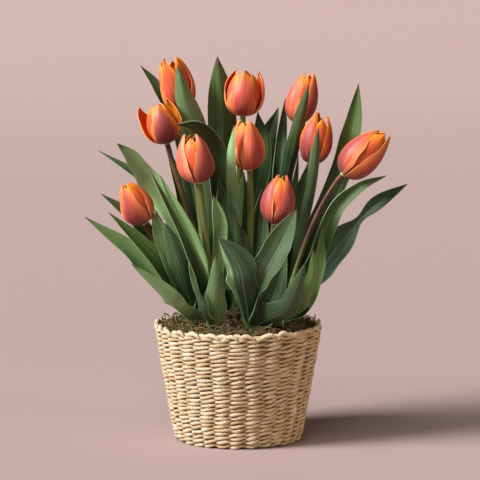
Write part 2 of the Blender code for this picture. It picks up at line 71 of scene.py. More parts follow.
# Moss, bulbs and stems.
LINER_GAP = 5.8 * MM  # from the basket's outer radius to the liner
MOSS_EDGE = 119.5 * MM
MOSS_MIDDLE = 127.0 * MM
MOSS_LUMP = 2.2 * MM
MOSS_DIP = 6.5 * MM
MOSS_DIP_RADIUS = 10.0 * MM
MOSS_GRAINS = ((3.2, 1.5, 3), (1.3, 0.8, 9))  # size and rise of its fine lumps, and the level of their noise
STRAND_STEPS = 9
BULB_NOSE = 104.0 * MM
STEM_ROOT_RADIUS = 4.3 * MM
STEM_NECK_RADIUS = 3.1 * MM
STEM_STRAIGHT = 130.0 * MM  # the height up to which a stem stands upright
STEM_SWEEP = 0.36  # how roundly a stem curves from there to its bloom

# Leaves and petals.
LEAF_FOOT = 0.32  # width of a blade where it clasps the stem, as a share of its widest
CLASP = math.radians(70)  # how far its halves bend up there
SECTION_STEPS = 8
PETALS = 6
PETAL_ARC = 0.96  # half width of an inner petal as a share of its bloom's radius
OUTER_PETAL_EASE = 0.04  # and how much narrower an outer one is
INNER_PETAL_INSET = 1.5 * MM
INNER_FLAME = 0.3
INNER_WARM = 0.95  # an inner petal is at least this orange
BACK_SHADOW = 0.85  # how dark the leaves' lower halves are at the back of the clump
ROLL_BLEACH = 0.33  # how pale a margin turns for each radian that it rolls back
RECEPTACLE_RADIUS = 4.4 * MM
ANTHER_RING = 5.4 * MM

# Stage, in metres: the ways that the key light and the soft light above travel, and the places of the rest.
KEY_TRAVEL = (0.80, 0.32, -0.60)
TOP_TRAVEL = (0.30, 0.42, -0.86)
FILL_PLACE = (3.8, -2.4, 0.45)
FILL_TARGET = (0, 0, 0.03)
KEY_SPREAD = math.radians(24)
TOP_SPREAD = math.radians(50)
FILL_SPREAD = math.radians(8)
CAMERA_PLACE = (0.002, -2.389, 0.499)
CAMERA_TILT = math.radians(83.1)
FLOOR_SIZE = 14
FLOOR_DROP = 0.2 * MM  # keeps the floor clear of the basket's underside
BACKDROP_HEIGHT = 6
BACKDROP_CURVE = 2.5

# A leaf clasps its stem on one side, at a height, and its midrib runs through the points of its route to
# its tip. The blade's inner side looks along faces, an azimuth and an elevation, and turns by twist towards
# the tip. cup is how far its halves bend up, wave the ripple of its edge and belly where it is widest. tone
# is how fresh its green is, roll how far its left and right margins roll back, fold how far its halves fold
# along the midrib, waist the place and depth of a narrowing, and pale how bleached it is, partly painted
# light that brightens a blade where other leaves shade it. deep is painted shade: how dark its lower half is.
# Lengths are in millimetres, and angles in degrees, except that roll is in radians.
LEAF_FIELDS = "side height route width faces cup wave belly twist tone roll fold waist pale deep"
Leaf = namedtuple("Leaf", LEAF_FIELDS, defaults=(28, 1.5, 0.5, 0, 0.4, (0, 0), 12, (0.5, 0), 0, 0))
# A bloom stands on its stem at foot and reaches to top. Its petals start at spin and stand 60 degrees apart,
# outer and inner in turn, and each leans out by its share of opening. flame is how strong the flush of each
# outer petal is, and warm how orange they are. A large flame, past 0.9, also washes the whole petal rose and
# darkens its foot: partly the flush's own colour, partly painted shade on the blooms that lie in shade.
Bloom = namedtuple("Bloom", "foot top radius spin opening flame warm")
# flush is how purple the stem is under its bloom, and slim how thick it is, as a share of the usual.
Plant = namedtuple("Plant", "place flush slim bloom leaves")


def shoot(place, flush, slim, bloom, *leaves):
    """One plant from its stem's values, its bloom and its leaves."""
    return Plant(place, flush, slim, bloom, leaves)


PLANTS = (
    shoot(
        (-34, 42), 0.5, 1.0,
        Bloom((-57, 38, 342), (-74, 36, 401), 17.2, -104,
              (0.6, 0.5, 0.45, 0.5, 0.6, 0.55), (0.45, 1.0, 0.8), 0.7),
        Leaf(150, 140, ((-46, 56, 240), (-66, 62, 330), (-86, 60, 368), (-104, 58, 390)),
             18, (-100, 10), tone=0.15),
        Leaf(-40, 128, ((-30, 26, 240), (-42, 18, 322), (-56, 12, 360), (-63, 13, 393)),
             26, (110, 5), 24, 1, 0.62, tone=0.15, pale=0.4),
        Leaf(100, 118, ((-52, 74, 230), (-78, 86, 300)), 32, (-75, 30)),
        Leaf(200, 123, ((-78, 50, 205), (-118, 56, 262)), 28, (-20, 35)),
    ),
    shoot(
        (-22, 4), 1.0, 0.8,
        Bloom((-74, 8, 310), (-85, 6, 356), 18.0, -88,
              (0.15, 0.15, 0.6, 0.3, 1.25, 0.3), (2.3, 0.05, 1.8), 0.9),
        Leaf(160, 134, ((-60, 10, 215), (-103, 6, 273), (-147, 14, 303)),
             20, (-60, 40), 30, 2, 0.45, tone=0.15),
        Leaf(200, 119, ((-50, -2, 205), (-82, -4, 258), (-104, -10, 287), (-125, -20, 313)),
             28, (-128, 42), 25, 3, 0.74, 20, tone=1.0, roll=(1.5, 0), waist=(0.8, 0.25), pale=0.95),
        Leaf(20, 128, ((-14, 8, 230), (-24, -8, 302), (-40, -26, 330), (-63, -34, 334)),
             26, (-90, -20), 30, 2, 0.6, tone=0.3),
        Leaf(190, 124, ((-74, -6, 208), (-87, -6, 243)), 18, (-80, 10), tone=0.6),
    ),
    shoot(
        (-25, -48), 0.45, 1.0,
        Bloom((-40, -50, 274), (-47, -54, 327), 19.0, -46,
              (0.15, 0.1, 0.15, 0.1, 0.3, 0.3), (1.6, 1.0, 0.3), 0.1),
        Leaf(190, 120, ((-52, -64, 212), (-90, -64, 289)), 21, (-80, 28), 20, 1, 0.45, tone=0.45, fold=40),
        Leaf(140, 126, ((-47, -48, 215), (-80, -46, 282)),
             26, (-110, 28), 24, 1, 0.45, tone=0.85, fold=26, pale=0.4),
        Leaf(-100, 116, ((-22, -74, 166), (-23, -82, 204)), 25, (90, 10), 35, tone=0.25, pale=0.2),
        Leaf(30, 136, ((-19, -44, 225), (-25, -50, 262)), 17, (-80, 0), 30, 1, 0.7, tone=1.0, pale=0.45),
        Leaf(-130, 118, ((-38, -69, 150), (-46, -73, 176)), 12, (60, 10), tone=0.1),
    ),
    shoot(
        (-46, -20), 1.0, 0.72,
        Bloom((-96, -35, 231), (-117, -42, 275), 17.5, 8,
              (0.1, 0.1, 0.1, 0.15, 0.15, 0.2), (0.7, 0.7, 1.1), 0.5),
        # pale 0.6 on this blade is painted light: it brightens the blade where the leaves above shade it
        Leaf(-130, 117, ((-72, -56, 156), (-108, -74, 194)),
             31, (60, 20), 28, 1.5, 0.45, tone=0.05, pale=0.6),
        Leaf(200, 126, ((-86, -40, 196), (-133, -46, 244)), 27, (-85, 30), 30, 1.5, 0.45, tone=0.8, fold=16),
        Leaf(160, 120, ((-108, -16, 196), (-159, -24, 237)),
             28, (-90, 35), 30, 1.5, 0.42, tone=1.0, fold=14, pale=0.4),
        Leaf(120, 134, ((-100, -20, 225), (-142, -22, 261)), 22, (-80, 30), tone=0.45),
        Leaf(-80, 121, ((-60, -48, 187), (-75, -51, 234)), 26, (80, 5), 30, 1.5, 0.66, tone=0.1),
        Leaf(-95, 124, ((-70, -38, 200), (-88, -42, 243)),
             22, (-100, 5), 30, 1.5, 0.74, tone=0.95, pale=0.35),
    ),
    shoot(
        (-4, 52), 0.3, 1.0,
        Bloom((5, 28, 337), (8, 28, 389), 19.5, -97,
              (0.1, 0.3, 0.6, 0.35, 0.6, 0.3), (0.55, 0.5, 0.4), 0.6),
        Leaf(-160, 121, ((-16, 48, 250), (-18, 50, 338), (-22, 46, 400)),
             34, (-95, 0), -22, 2, 0.72, tone=0.5, fold=-14),
        Leaf(-20, 136, ((25, 50, 290), (21, 54, 341)), 26, (-100, 5), 30, 1, 0.6),
        Leaf(90, 117, ((-10, 84, 220), (-22, 104, 290)), 34, (-90, 25)),
        Leaf(-80, 128, ((2, 30, 210), (6, 22, 280)), 30, (90, 0), 30, 1.5, 0.55, tone=0.3),
        Leaf(-150, 117, ((-15, 44, 170), (-24, 40, 225)), 26, (-90, 0), 30, tone=0.2),
    ),
    shoot(
        (10, -6), 0.25, 1.0,
        Bloom((12, -25, 285), (8, -27, 340), 18.0, -63,
              (0.2, 0.2, 0.1, 0.1, 0.2, 0.3), (0.7, 0.6, 0.4), 0.5),
        Leaf(170, 136, ((-6, -22, 235), (-9, -46, 296), (-4, -44, 334)),
             16, (50, 0), 30, 0.5, 0.6, tone=0.6, pale=0.6),
        Leaf(-165, 120, ((-12, -24, 228), (-20, -30, 278)), 24, (-90, 10), 30, 2, tone=0.2),
        Leaf(-90, 127, ((5, -38, 199), (-2, -46, 235)), 26, (100, 10), 30, 2, 0.6, tone=0.2),
        Leaf(50, 119, ((20, 10, 195), (25, 16, 262)), 30, (-90, 5), 30, 2, 0.6, tone=0.15),
    ),
    shoot(
        (33, 45), 0.5, 1.0,
        Bloom((61, 32, 330), (76, 34, 386), 16.5, -32,
              (0.15, 0.15, 0.2, 0.1, 0.2, 0.3), (1.3, 0.8, 0.3), 0.55),
        Leaf(-170, 138, ((44, 36, 290), (50, 42, 356)), 15, (-90, 0), 30, 0.5, 0.6),
        Leaf(150, 122, ((28, 60, 290), (43, 66, 345)), 26, (-95, 5), 30, 1, 0.6),
        Leaf(-60, 130, ((51, 26, 270), (58, 17, 308), (66, 9, 342), (74, 6, 373)),
             17, (90, 0), 30, 0.5, 0.6, tone=0.25),
        Leaf(60, 117, ((62, 74, 220), (84, 88, 300)), 32, (-110, 25)),
    ),
    shoot(
        (53, 12), 0.7, 1.0,
        # flames past 1 here partly paint shade over this bloom
        Bloom((77, 2, 289), (86, 2, 344), 16.5, -10,
              (0.3, 0.1, 0.1, 0.1, 0.2, 0.35), (1.7, 1.6, 1.5), 0.9),
        Leaf(-70, 132, ((68, -8, 225), (77, -20, 275), (83, -24, 330)),
             12.5, (100, 0), 30, 0.5, 0.8, tone=0.2, pale=0.1),
        Leaf(180, 120, ((53, 4, 220), (63, 0, 300)), 20, (-60, 0), tone=0.3),
        Leaf(50, 118, ((84, 44, 200), (108, 58, 270)), 30, (-150, 30)),
        Leaf(0, 126, ((76, 10, 205), (104, 14, 270), (120, 14, 326), (126, 12, 373)),
             25, (-100, 0), 30, 1, 0.68, tone=0.6),
    ),
    shoot(
        (49, -26), 1.2, 0.75,
        Bloom((108, -20, 280), (153, -24, 326), 19.5, -28,
              (0.2, 0.15, 0.2, 0.1, 0.2, 0.15), (1.0, 0.4, 1.1), 0.6),
        Leaf(-50, 117, ((68, -46, 150), (78, -52, 180), (77, -56, 208)),
             18, (110, 0), 28, 1, 0.55, tone=0.9, pale=0.1, deep=0.25),
        Leaf(-20, 128, ((80, -30, 190), (97, -29, 240), (124, -28, 267), (153, -26, 280)),
             20, (-80, 14), 28, 1, 0.46, tone=0.6, fold=14),
        Leaf(20, 121, ((84, -6, 178), (110, -2, 210), (137, -4, 242), (176, -12, 270)),
             35, (-96, 16), 22, 1.5, 0.57, tone=0.12, fold=20, waist=(0.74, 0.7)),
        Leaf(-15, 121, ((72, -34, 154), (84, -36, 188), (87, -34, 226)),
             19, (-95, 5), 26, 1, tone=1.0, deep=0.6),
    ),
    shoot(
        (14, -52), 0.8, 0.78,
        # flames past 1 here partly paint shade over this bloom
        Bloom((37, -62, 233), (46, -66, 285), 17.5, -42,
              (0.1, 0.1, 0.1, 0.1, 0.15, 0.2), (2.6, 2.2, 2.4), 0.25),
        Leaf(-140, 117, ((6, -82, 170), (0, -88, 196), (-20, -90, 224)),
             34, (80, 10), 30, 2, 0.66, tone=0.0, roll=(0, 1.9), deep=0.85),
        Leaf(-30, 123, ((19, -74, 168), (32, -80, 195), (45, -82, 220), (59, -84, 251)),
             31, (-106, 12), 26, 1.5, 0.72, tone=0.1, waist=(0.36, 0.6)),
        Leaf(-70, 119, ((50, -82, 150), (68, -98, 199)), 33, (90, 25), 28, 1.5, 0.38, tone=0.05),
        Leaf(20, 119, ((36, -54, 158), (50, -56, 207)), 32, (-95, 10), 30, tone=0.1, deep=0.9),
    ),
)


# Loose strands that stand out: place, heading, length, height of the arch, in millimetres and degrees, and
# which of the four tones.
TUFTS = (
    ((18, -76), 15, 30, 9, 3), ((30, -74), -20, 26, 8, 3), ((44, -70), 170, 24, 7, 3),
    ((24, -78), 60, 18, 6, 2), ((-36, -70), 20, 26, 9, 1), ((-26, -74), 150, 24, 8, 1),
    ((-44, -62), 60, 22, 10, 2), ((-14, -78), -10, 26, 6, 1), ((-66, -30), 100, 24, 9, 2),
    ((-70, -22), 60, 26, 11, 1), ((-62, -42), 200, 22, 8, 1), ((-58, -50), 80, 20, 9, 0),
    ((-4, -80), 30, 24, 7, 2), ((6, -78), 160, 24, 6, 1), ((58, -52), 40, 22, 8, 2),
    ((66, -44), 10, 26, 9, 2), ((74, -26), 30, 24, 12, 0), ((70, -36), 100, 22, 10, 2),
    ((76, -10), 20, 20, 12, 0), ((-50, -58), -30, 24, 7, 3), ((50, -64), 90, 20, 7, 3),
    ((-20, -70), 90, 20, 9, 2), ((36, -76), 190, 22, 6, 1), ((62, -56), 130, 22, 6, 1),
    ((-72, -14), 80, 26, 12, 2), ((-74, -4), 120, 24, 11, 1), ((-68, -36), 60, 28, 11, 3),
    ((-64, -46), 20, 26, 9, 2), ((-60, -40), 110, 24, 12, 1), ((-70, -26), 160, 24, 10, 3),
    ((-56, -56), 40, 24, 8, 1), ((-74, -20), 30, 22, 9, 2),
)


# ---- Shader graphs ----


class Field:
    """A value that changes over a surface. Arithmetic on it adds Math nodes."""

    def __init__(self, graph, socket):
        self.graph = graph
        self.socket = socket

    def math(self, operation, *others):
        """One Math node on this value and any other that it needs."""
        return self.graph.node("ShaderNodeMath", {"operation": operation}, dict(enumerate((self, *others))))

    def __add__(self, other):
        return self.math("ADD", other)

    def __radd__(self, other):
        return self.math("ADD", other)

    def __sub__(self, other):
        return self.math("SUBTRACT", other)

    def __rsub__(self, other):
        return -self + other

    def __mul__(self, other):
        return self.math("MULTIPLY", other)

    def __rmul__(self, other):
        return self.math("MULTIPLY", other)

    def __truediv__(self, other):
        return self.math("DIVIDE", other)

    def __neg__(self):
        return self.math("MULTIPLY", -1.0)

    def __abs__(self):
        return self.math("ABSOLUTE")

    def clamp(self):
        """The value held between 0 and 1."""
        return self.graph.node("ShaderNodeClamp", {}, {"Value": self}, "Result")

    def step(self, low, high):
        """A smooth step: 0 at low, 1 at high."""
        inputs = {"Value": self, "From Min": low, "From Max": high, "To Min": 0.0, "To Max": 1.0}
        return self.graph.node("ShaderNodeMapRange", {"interpolation_type": "SMOOTHSTEP"}, inputs, "Result")


class Graph:
    """A Principled material whose nodes are written as expressions."""

    def __init__(self, name, **constants):
        self.material = bpy.data.materials.new(name)
        self.material.use_nodes = True
        self.tree = self.material.node_tree
        self.shader = self.tree.nodes["Principled BSDF"]
        for key, value in constants.items():
            self.shader.inputs[key.replace("_", " ").title().replace("Ior", "IOR")].default_value = value

    def node(self, kind, settings, inputs, output=0):
        """Add a node: its settings first, then the values or links of its sockets."""
        made = self.tree.nodes.new(kind)
        for key, value in settings.items():
            setattr(made, key, value)
        for key, value in inputs.items():
            self.feed(made.inputs[key], value)
        return Field(self, made.outputs[output])

    def feed(self, socket, value):
        """Link a field to a socket, or set the socket's own value."""
        if isinstance(value, Field):
            self.tree.links.new(value.socket, socket)
        elif socket.type == "RGBA":
            socket.default_value = (*value, 1.0)
        else:
            socket.default_value = value

    def mix(self, share, first, second):
        """Blend two colours."""
        settings = {"data_type": "RGBA", "clamp_factor": True}
        return self.node("ShaderNodeMix", settings, {0: share, 6: first, 7: second}, 2)

    def layers(self, colour, *coats):
        """Lay coats over a colour in turn, each given as its cover and its colour."""
        for cover, coat in coats:
            colour = self.mix(cover, colour, coat)
        return colour

    def across(self):
        """Side from -1 to 1 and share from 0 to 1 of a blade's own map."""
        place = self.node("ShaderNodeTexCoord", {}, {}, "UV")
        x = self.node("ShaderNodeSeparateXYZ", {}, {0: place}, 0)
        y = self.node("ShaderNodeSeparateXYZ", {}, {0: place}, 1)
        return x * 2.0 - 1.0, y

    def place(self):
        """The point on the object, in metres."""
        return self.node("ShaderNodeTexCoord", {}, {}, "Object")

    def vector(self, x, y, z):
        """A vector from three numbers."""
        return self.node("ShaderNodeCombineXYZ", {}, {0: x, 1: y, 2: z})

    def kept(self, name, channel):
        """One channel of an attribute kept on the mesh."""
        colour = self.node("ShaderNodeAttribute", {"attribute_name": name}, {}, "Color")
        return self.node("ShaderNodeSeparateColor", {}, {0: colour}, channel)

    def noise(self, where, scale, detail=2.0, rough=0.5):
        """Cloudy noise from 0 to 1."""
        inputs = {"Vector": where, "Scale": scale, "Detail": detail, "Roughness": rough}
        return self.node("ShaderNodeTexNoise", {}, inputs, 0)

    def bump(self, height, depth, strength=1.0):
        """Raise the surface by height, whose full range is depth in metres."""
        inputs = {"Height": height, "Distance": depth, "Strength": strength}
        self.feed(self.shader.inputs["Normal"], self.node("ShaderNodeBump", {}, inputs, "Normal"))

    def paint(self, colour, roughness):
        """Feed the shader's colour and roughness."""
        self.feed(self.shader.inputs["Base Color"], colour)
        self.feed(self.shader.inputs["Roughness"], roughness)
        return self.material


def toned(colour, factor):
    """A colour made darker or lighter by a factor."""
    return tuple(factor * value for value in colour)


def straw_material(name, settings, shade):
    """Dry straw: cream to tan strands, each twisted from fine fibres, with painted shade in the grooves of
    their twist and where they lie back in the wall. shade adds painted shade all over them.
    """
    graph = Graph(name, specular_ior_level=0.25)
    tone = graph.kept("straw", 0)
    depth = graph.kept("straw", 1)
    along, around = graph.across()
    fibre = graph.noise(graph.vector(along * 130.0 + around * 9.0, around * 12.0, tone * 30.0), 1.0, 3.0, 0.6)
    twist = abs((along * 60.0 + around * 2.0 + fibre * 0.35).math("FRACT") * 2.0 - 1.0)
    patch = graph.noise(graph.place(), 60.0, 3.0)
    colour = graph.layers(
        graph.mix((tone * 0.8 + patch * 0.9 - 0.4).clamp(), settings.tan, settings.pale),
        (fibre.step(0.45, 0.72) * 0.35, toned(settings.tan, 0.65)),
        # painted shade in the grooves of the twist
        ((1.0 - twist.step(0.0, 0.4)) * 0.5, toned(settings.tan, 0.5)),
        # painted shade where the second channel marks the straw as lying back in the wall: behind the stakes,
        # at the feet of the border's arches and in the underside's dips
        ((1.0 - depth.step(-0.8, 0.35)) * 0.7, (0.095, 0.05, 0.018)),
        # painted shade over the whole piece, as strong as shade
        (shade, toned(settings.tan, 0.1)),
    )
    graph.bump(twist * 0.7 + fibre * 0.5, 0.7 * MM, 0.8)
    return graph.paint(colour, 0.62 + 0.25 * fibre)


def leaf_material(name, settings):
    """A waxy blade: parallel veins, a pale midrib and margin, and a greyish or fresh green, with painted
    shade towards its foot.
    """
    graph = Graph(
        name, specular_ior_level=0.36, subsurface_weight=0.04,
        subsurface_radius=(0.4, 1.0, 0.2), subsurface_scale=1.2 * MM,
    )
    side, share = graph.across()
    tone = graph.kept("leaf", 0)
    seed = graph.kept("leaf", 1)
    pale = graph.kept("leaf", 2)
    curled = (-side).step(0.45, 0.8) * graph.kept("curl", 0) + side.step(0.45, 0.8) * graph.kept("curl", 1)
    ribs = graph.noise(graph.vector(side * 5.0, share * 0.9, seed * 23.0), 1.0, 2.0, 0.6)
    veins = graph.noise(graph.vector(side * 16.0, share * 1.1, seed * 40.0), 1.0, 2.0, 0.6)
    fine = graph.noise(graph.vector(side * 48.0, share * 2.5, seed * 40.0), 1.0, 1.0)
    cloud = graph.noise(graph.place(), 26.0, 3.0)
    patch = graph.noise(graph.vector(side * 1.5, share * 3.0, seed * 61.0), 1.0, 2.0)
    # painted shade: the third channel of curl darkens a blade's lower half, and every blade is a little
    # darker towards its foot
    deep = graph.kept("curl", 2) * (1.0 - share.step(0.4, 0.75))
    bright = ribs * 1.4 + veins * 1.1 + fine * 0.5 + cloud * 0.4
    bright = bright + share.step(0.15, 0.75) * 0.3 - 1.45 - deep * 0.8
    midrib = 1.0 - abs(side).step(0.0, 0.06)
    foot = 1.0 - share.step(0.0, 0.24)
    margin = abs(side + (fine - 0.5) * 0.02).step(0.965, 0.995) * share.step(0.1, 0.3)
    tip = (share + (cloud - 0.5) * 0.04).step(0.93, 1.0)
    dark = graph.mix(tone, settings.glaucous_dark, settings.fresh_dark)
    green = graph.mix(tone, settings.glaucous, settings.fresh)
    colour = graph.layers(
        graph.mix(bright.clamp(), dark, green),
        (patch.step(0.5, 0.85) * (1.0 - tone) * (1.0 - deep) * 0.25, (0.15, 0.22, 0.10)),
        (patch.step(0.6, 0.9) * tone * 0.4, (0.26, 0.33, 0.05)),
        (fine.step(0.58, 0.8) * (1.0 - deep) * 0.2, (0.25, 0.34, 0.15)),
        # pale bleaches a blade, partly as painted light on blades that other leaves shade; rolled margins
        # bleach too
        (((pale + curled) * (0.7 + veins * 0.5)).clamp(), settings.pale),
        (midrib * 0.3, (0.24, 0.33, 0.15)),
        (foot * 0.35, settings.foot),
        (margin * 0.75, settings.margin),
        (tip * 0.8, (0.10, 0.06, 0.04)),
    )
    graph.bump(ribs * 0.8 + veins * 0.6 + fine * 0.4 - midrib * 0.3, 0.5 * MM, 0.8)
    return graph.paint(colour, 0.4 + 0.2 * cloud)


def stem_material(name, settings):
    """A smooth stem, flushed purple-brown under its bloom."""
    graph = Graph(
        name, specular_ior_level=0.3, subsurface_weight=0.06,
        subsurface_radius=(0.6, 1.0, 0.3), subsurface_scale=1.5 * MM,
    )
    flush = graph.kept("stem", 0)
    share = graph.kept("stem", 1)
    cloud = graph.noise(graph.place(), 60.0, 3.0)
    tinge = ((share.step(0.1, 0.8) + (cloud - 0.5) * 0.5) * flush * 1.3).clamp()
    colour = graph.layers(
        graph.mix(share.step(0.0, 0.35), settings.foot, settings.stem),
        (tinge, settings.flush),
        ((cloud - 0.35).clamp() * 0.5, (0.26, 0.30, 0.10)),
    )
    graph.bump(cloud, 0.2 * MM, 0.5)
    return graph.paint(colour, 0.4 + 0.15 * cloud)


def petal_graph(name):
    """The soft shader that both faces of a petal share."""
    return Graph(
        name, specular_ior_level=0.3, subsurface_weight=0.12,
        subsurface_radius=(1.0, 0.3, 0.1), subsurface_scale=2.5 * MM,
    )


def petal_outside_material(name, settings):
    """A petal's outer face: orange, streaked and golden at its margins, with a plum flame up its middle."""
    graph = petal_graph(name)
    side, share = graph.across()
    flame = graph.kept("petal", 0)
    warm = graph.kept("petal", 1)
    seed = graph.kept("petal", 2)
    streak = graph.noise(graph.vector(side * 7.0, share * 1.1, seed * 37.0), 1.0, 3.0, 0.7)
    fine = graph.noise(graph.vector(side * 24.0, share * 1.6, seed * 17.0), 1.0, 2.0, 0.6)
    cloud = graph.noise(graph.vector(side * 1.6, share * 2.4, seed * 53.0), 1.0, 2.0)
    edge = abs(side).step(0.5, 1.0)
    golden = 1.0 - flame.step(0.06, 0.28)
    rim = (edge * warm * warm * share.step(0.05, 0.5) + share.step(0.7, 1.0) * (0.3 + 0.5 * warm)).clamp()
    drift = side + (cloud - 0.5) * 0.9
    spread = abs(drift) / (1.2 - share * 0.9) + share * 0.3 + (streak - 0.5) * 1.7 + (fine - 0.5) * 1.1
    strength = ((1.0 - spread.step(0.1, 1.15)) * flame * 1.15).clamp()
    heart = strength * strength * (0.5 + streak) * (1.15 - share)
    # dusk is a dull mauve at the foot, stronger with flame; where flame passes 1 it is partly painted shade
    dusk = (1.0 - (share + (streak - 0.5) * 0.3).step(0.1, 0.42)) * flame * 0.4
    foot = (1.0 - share.step(0.01, 0.2)) * (0.45 + 0.55 * edge)
    colour = graph.layers(
        graph.mix(warm, settings.blush, settings.orange),
        (streak.step(0.47, 0.7) * (1.0 - warm * 0.5) * 0.75, settings.salmon),
        (cloud.step(0.45, 0.7) * (0.2 + 0.4 * warm), settings.orange),
        ((1.0 - fine.step(0.3, 0.5)) * 0.5, (0.46, 0.055, 0.025)),
        (edge * (0.35 + streak * 0.9) * (1.0 - warm * 0.55), settings.peach),
        # a flame past 0.9 washes the whole petal rose: partly the flush, partly painted shade on shaded
        # blooms
        (((flame - 0.9) * 0.6).clamp(), settings.rose),
        (golden * 0.7, settings.gold),
        (rim, settings.gold),
        (strength * 0.85, settings.rose),
        (heart.clamp() * 0.8, settings.plum),
        (dusk.clamp(), (0.16, 0.058, 0.052)),
        (foot * 0.7, settings.base),
        (fine.step(0.52, 0.72) * 0.4, settings.salmon),
        (abs(side).step(0.9, 0.99) * share.step(0.1, 0.4) * 0.5, (0.92, 0.42, 0.14)),
    )
    graph.bump(streak * 0.7 + fine * 0.5, 0.4 * MM, 0.8)
    return graph.paint(colour, 0.36 + 0.18 * fine)


def petal_inside_material(name, settings):
    """A petal's inner face: a deeper orange, golden at its foot and its tip."""
    graph = petal_graph(name)
    side, share = graph.across()
    seed = graph.kept("petal", 2)
    streak = graph.noise(graph.vector(side * 12.0, share * 1.1, seed * 37.0), 1.0, 3.0, 0.6)
    golden = 1.0 - graph.kept("petal", 0).step(0.06, 0.28)
    colour = graph.layers(
        graph.mix(streak.step(0.3, 0.75), settings.inside, settings.orange),
        (1.0 - share.step(0.05, 0.3), (0.70, 0.36, 0.03)),
        (share.step(0.75, 1.0) * 0.6, settings.gold),
        (golden * 0.8, (0.55, 0.24, 0.012)),
    )
    graph.bump(streak, 0.35 * MM, 0.7)
    return graph.paint(colour, 0.4 + 0.15 * streak)


def plain_material(name, first, second, scale, roughness, lump=0.0, **constants):
    """Two colours clouded together, with a matching relief."""
    graph = Graph(name, **constants)
    cloud = graph.noise(graph.place(), scale, 4.0, 0.6)
    fleck = graph.noise(graph.place(), scale * 5.0, 2.0)
    colour = graph.mix((cloud * 0.7 + fleck * 0.7 - 0.2).clamp(), first, second)
    if lump:
        graph.bump(cloud + fleck * 0.6, lump, 0.9)
    return graph.paint(colour, roughness + 0.1 * fleck)


# ---- Shapes ----


def smoothstep(value):
    """0 below 0, 1 above 1 and an even ease between."""
    value = min(max(value, 0.0), 1.0)
    return value * value * (3 - 2 * value)


def direction(azimuth, elevation=0.0):
    """The unit vector at an azimuth from +X and an elevation, both in degrees."""
    turn = math.radians(azimuth)
    rise = math.radians(elevation)
    return Vector((math.cos(turn) * math.cos(rise), math.sin(turn) * math.cos(rise), math.sin(rise)))


def basket_radius(height):
    """Outer radius of the basket's wall at a height or an array of heights."""
    radii = [radius * MM for radius, _ in BASKET_PROFILE]
    levels = [level * MM for _, level in BASKET_PROFILE]
    return np.interp(height, levels, radii)


def deselect():
    """Leave nothing selected, the CAD nodes included."""
    bpy.ops.object.select_all(action="DESELECT")


def pick(*pieces):
    """Select these objects alone and make the first one active."""
    deselect()
    for piece in pieces:
        piece.select_set(True)
    bpy.context.view_layer.objects.active = pieces[0]


def join(pieces, name):
    """Join objects into the first and name it."""
    pick(*pieces)
    if len(pieces) > 1:
        bpy.ops.object.join()
    pieces[0].name = name
    pieces[0].data.name = name
    return pieces[0]


def smooth(piece, angle):
    """Smooth shading with creases past an angle."""
    pick(piece)
    bpy.ops.object.shade_smooth_by_angle(angle=math.radians(angle))


def solidify(piece, thickness, side, offset=0):
    """Give a sheet its thickness: below it where side is -1, to both sides where it is 0."""
    thick = piece.modifiers.new("Solidify", "SOLIDIFY")
    thick.thickness = thickness
    thick.offset = side
    thick.material_offset = offset
    bpy.ops.object.modifier_apply(modifier=thick.name)


def finish_piece(piece, slot, *nodes):
    """Ride on the body and stand for CAD nodes, which it hides. slot is not used."""
    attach(piece, "root")
    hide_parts(*nodes)


def keep(piece, name, values):
    """Keep an RGB attribute on a mesh's points, from one colour or one for each point."""
    count = len(piece.data.vertices)
    attribute = piece.data.attributes.new(name, "FLOAT_COLOR", "POINT")
    colours = np.ones((count, 4), dtype=np.float32)
    colours[:, :3] = values
    attribute.data.foreach_set("color", colours.ravel())


def points_of(piece):
    """A mesh's points as an array."""
    points = np.empty(len(piece.data.vertices) * 3)
    piece.data.vertices.foreach_get("co", points)
    return points.reshape(-1, 3)


def place_points(piece, points):
    """Move a mesh's points to an array's places."""
    piece.data.vertices.foreach_set("co", np.ascontiguousarray(points, dtype=np.float64).ravel())
    piece.data.update()


def ripple(angle, height, seed, waves):
    """An even wandering from -1 to 1 round the basket, which changes slowly with height."""
    rng = random.Random(seed)
    total = 0.0
    for turn in waves:
        total = total + np.sin(turn * angle + rng.uniform(40, 90) * height * turn**0.5 + rng.uniform(0, TAU))
    return total / len(waves)


def ring(segments, sides, radius):
    """A torus, with the angle round the basket and the angle round the strand of each of its points."""
    deselect()
    bpy.ops.mesh.primitive_torus_add(
        major_segments=segments, minor_segments=sides, major_radius=radius, minor_radius=MM,
        generate_uvs=True,
    )
    made = bpy.context.object
    points = points_of(made)
    angle = np.arctan2(points[:, 1], points[:, 0])
    turn = np.arctan2(points[:, 2], np.hypot(points[:, 0], points[:, 1]) - radius)
    return made, angle, turn


def fill_ring(made, angle, radius, height):
    """Set a torus's points from radius and height arrays."""
    place_points(made, np.stack([radius * np.cos(angle), radius * np.sin(angle), height], axis=1))


def tubes(name, thickness, resolution, paths, materials):
    """A mesh of round tubes, one along each path of a material's number, points and sizes."""
    curve = bpy.data.curves.new(name, "CURVE")
    curve.dimensions = "3D"
    curve.bevel_depth = thickness
    curve.bevel_resolution = resolution
    curve.use_fill_caps = True
    for choice, places, sizes in paths:
        spline = curve.splines.new("POLY")
        spline.points.add(len(places) - 1)
        spline.material_index = choice
        for point, place, size in zip(spline.points, places, sizes):
            point.co = (*place, 1)
            point.radius = size
    for material in materials:
        curve.materials.append(material)
    made = bpy.data.objects.new(name, curve)
    bpy.context.scene.collection.objects.link(made)
    pick(made)
    bpy.ops.object.convert(target="MESH")
    return bpy.context.object


# ---- Settings ----


def colour_property(name, description, default):
    """A colour that the user can change."""
    return bpy.props.FloatVectorProperty(
        name=name, description=description, subtype="COLOR", size=3, min=0, max=1, default=default
    )


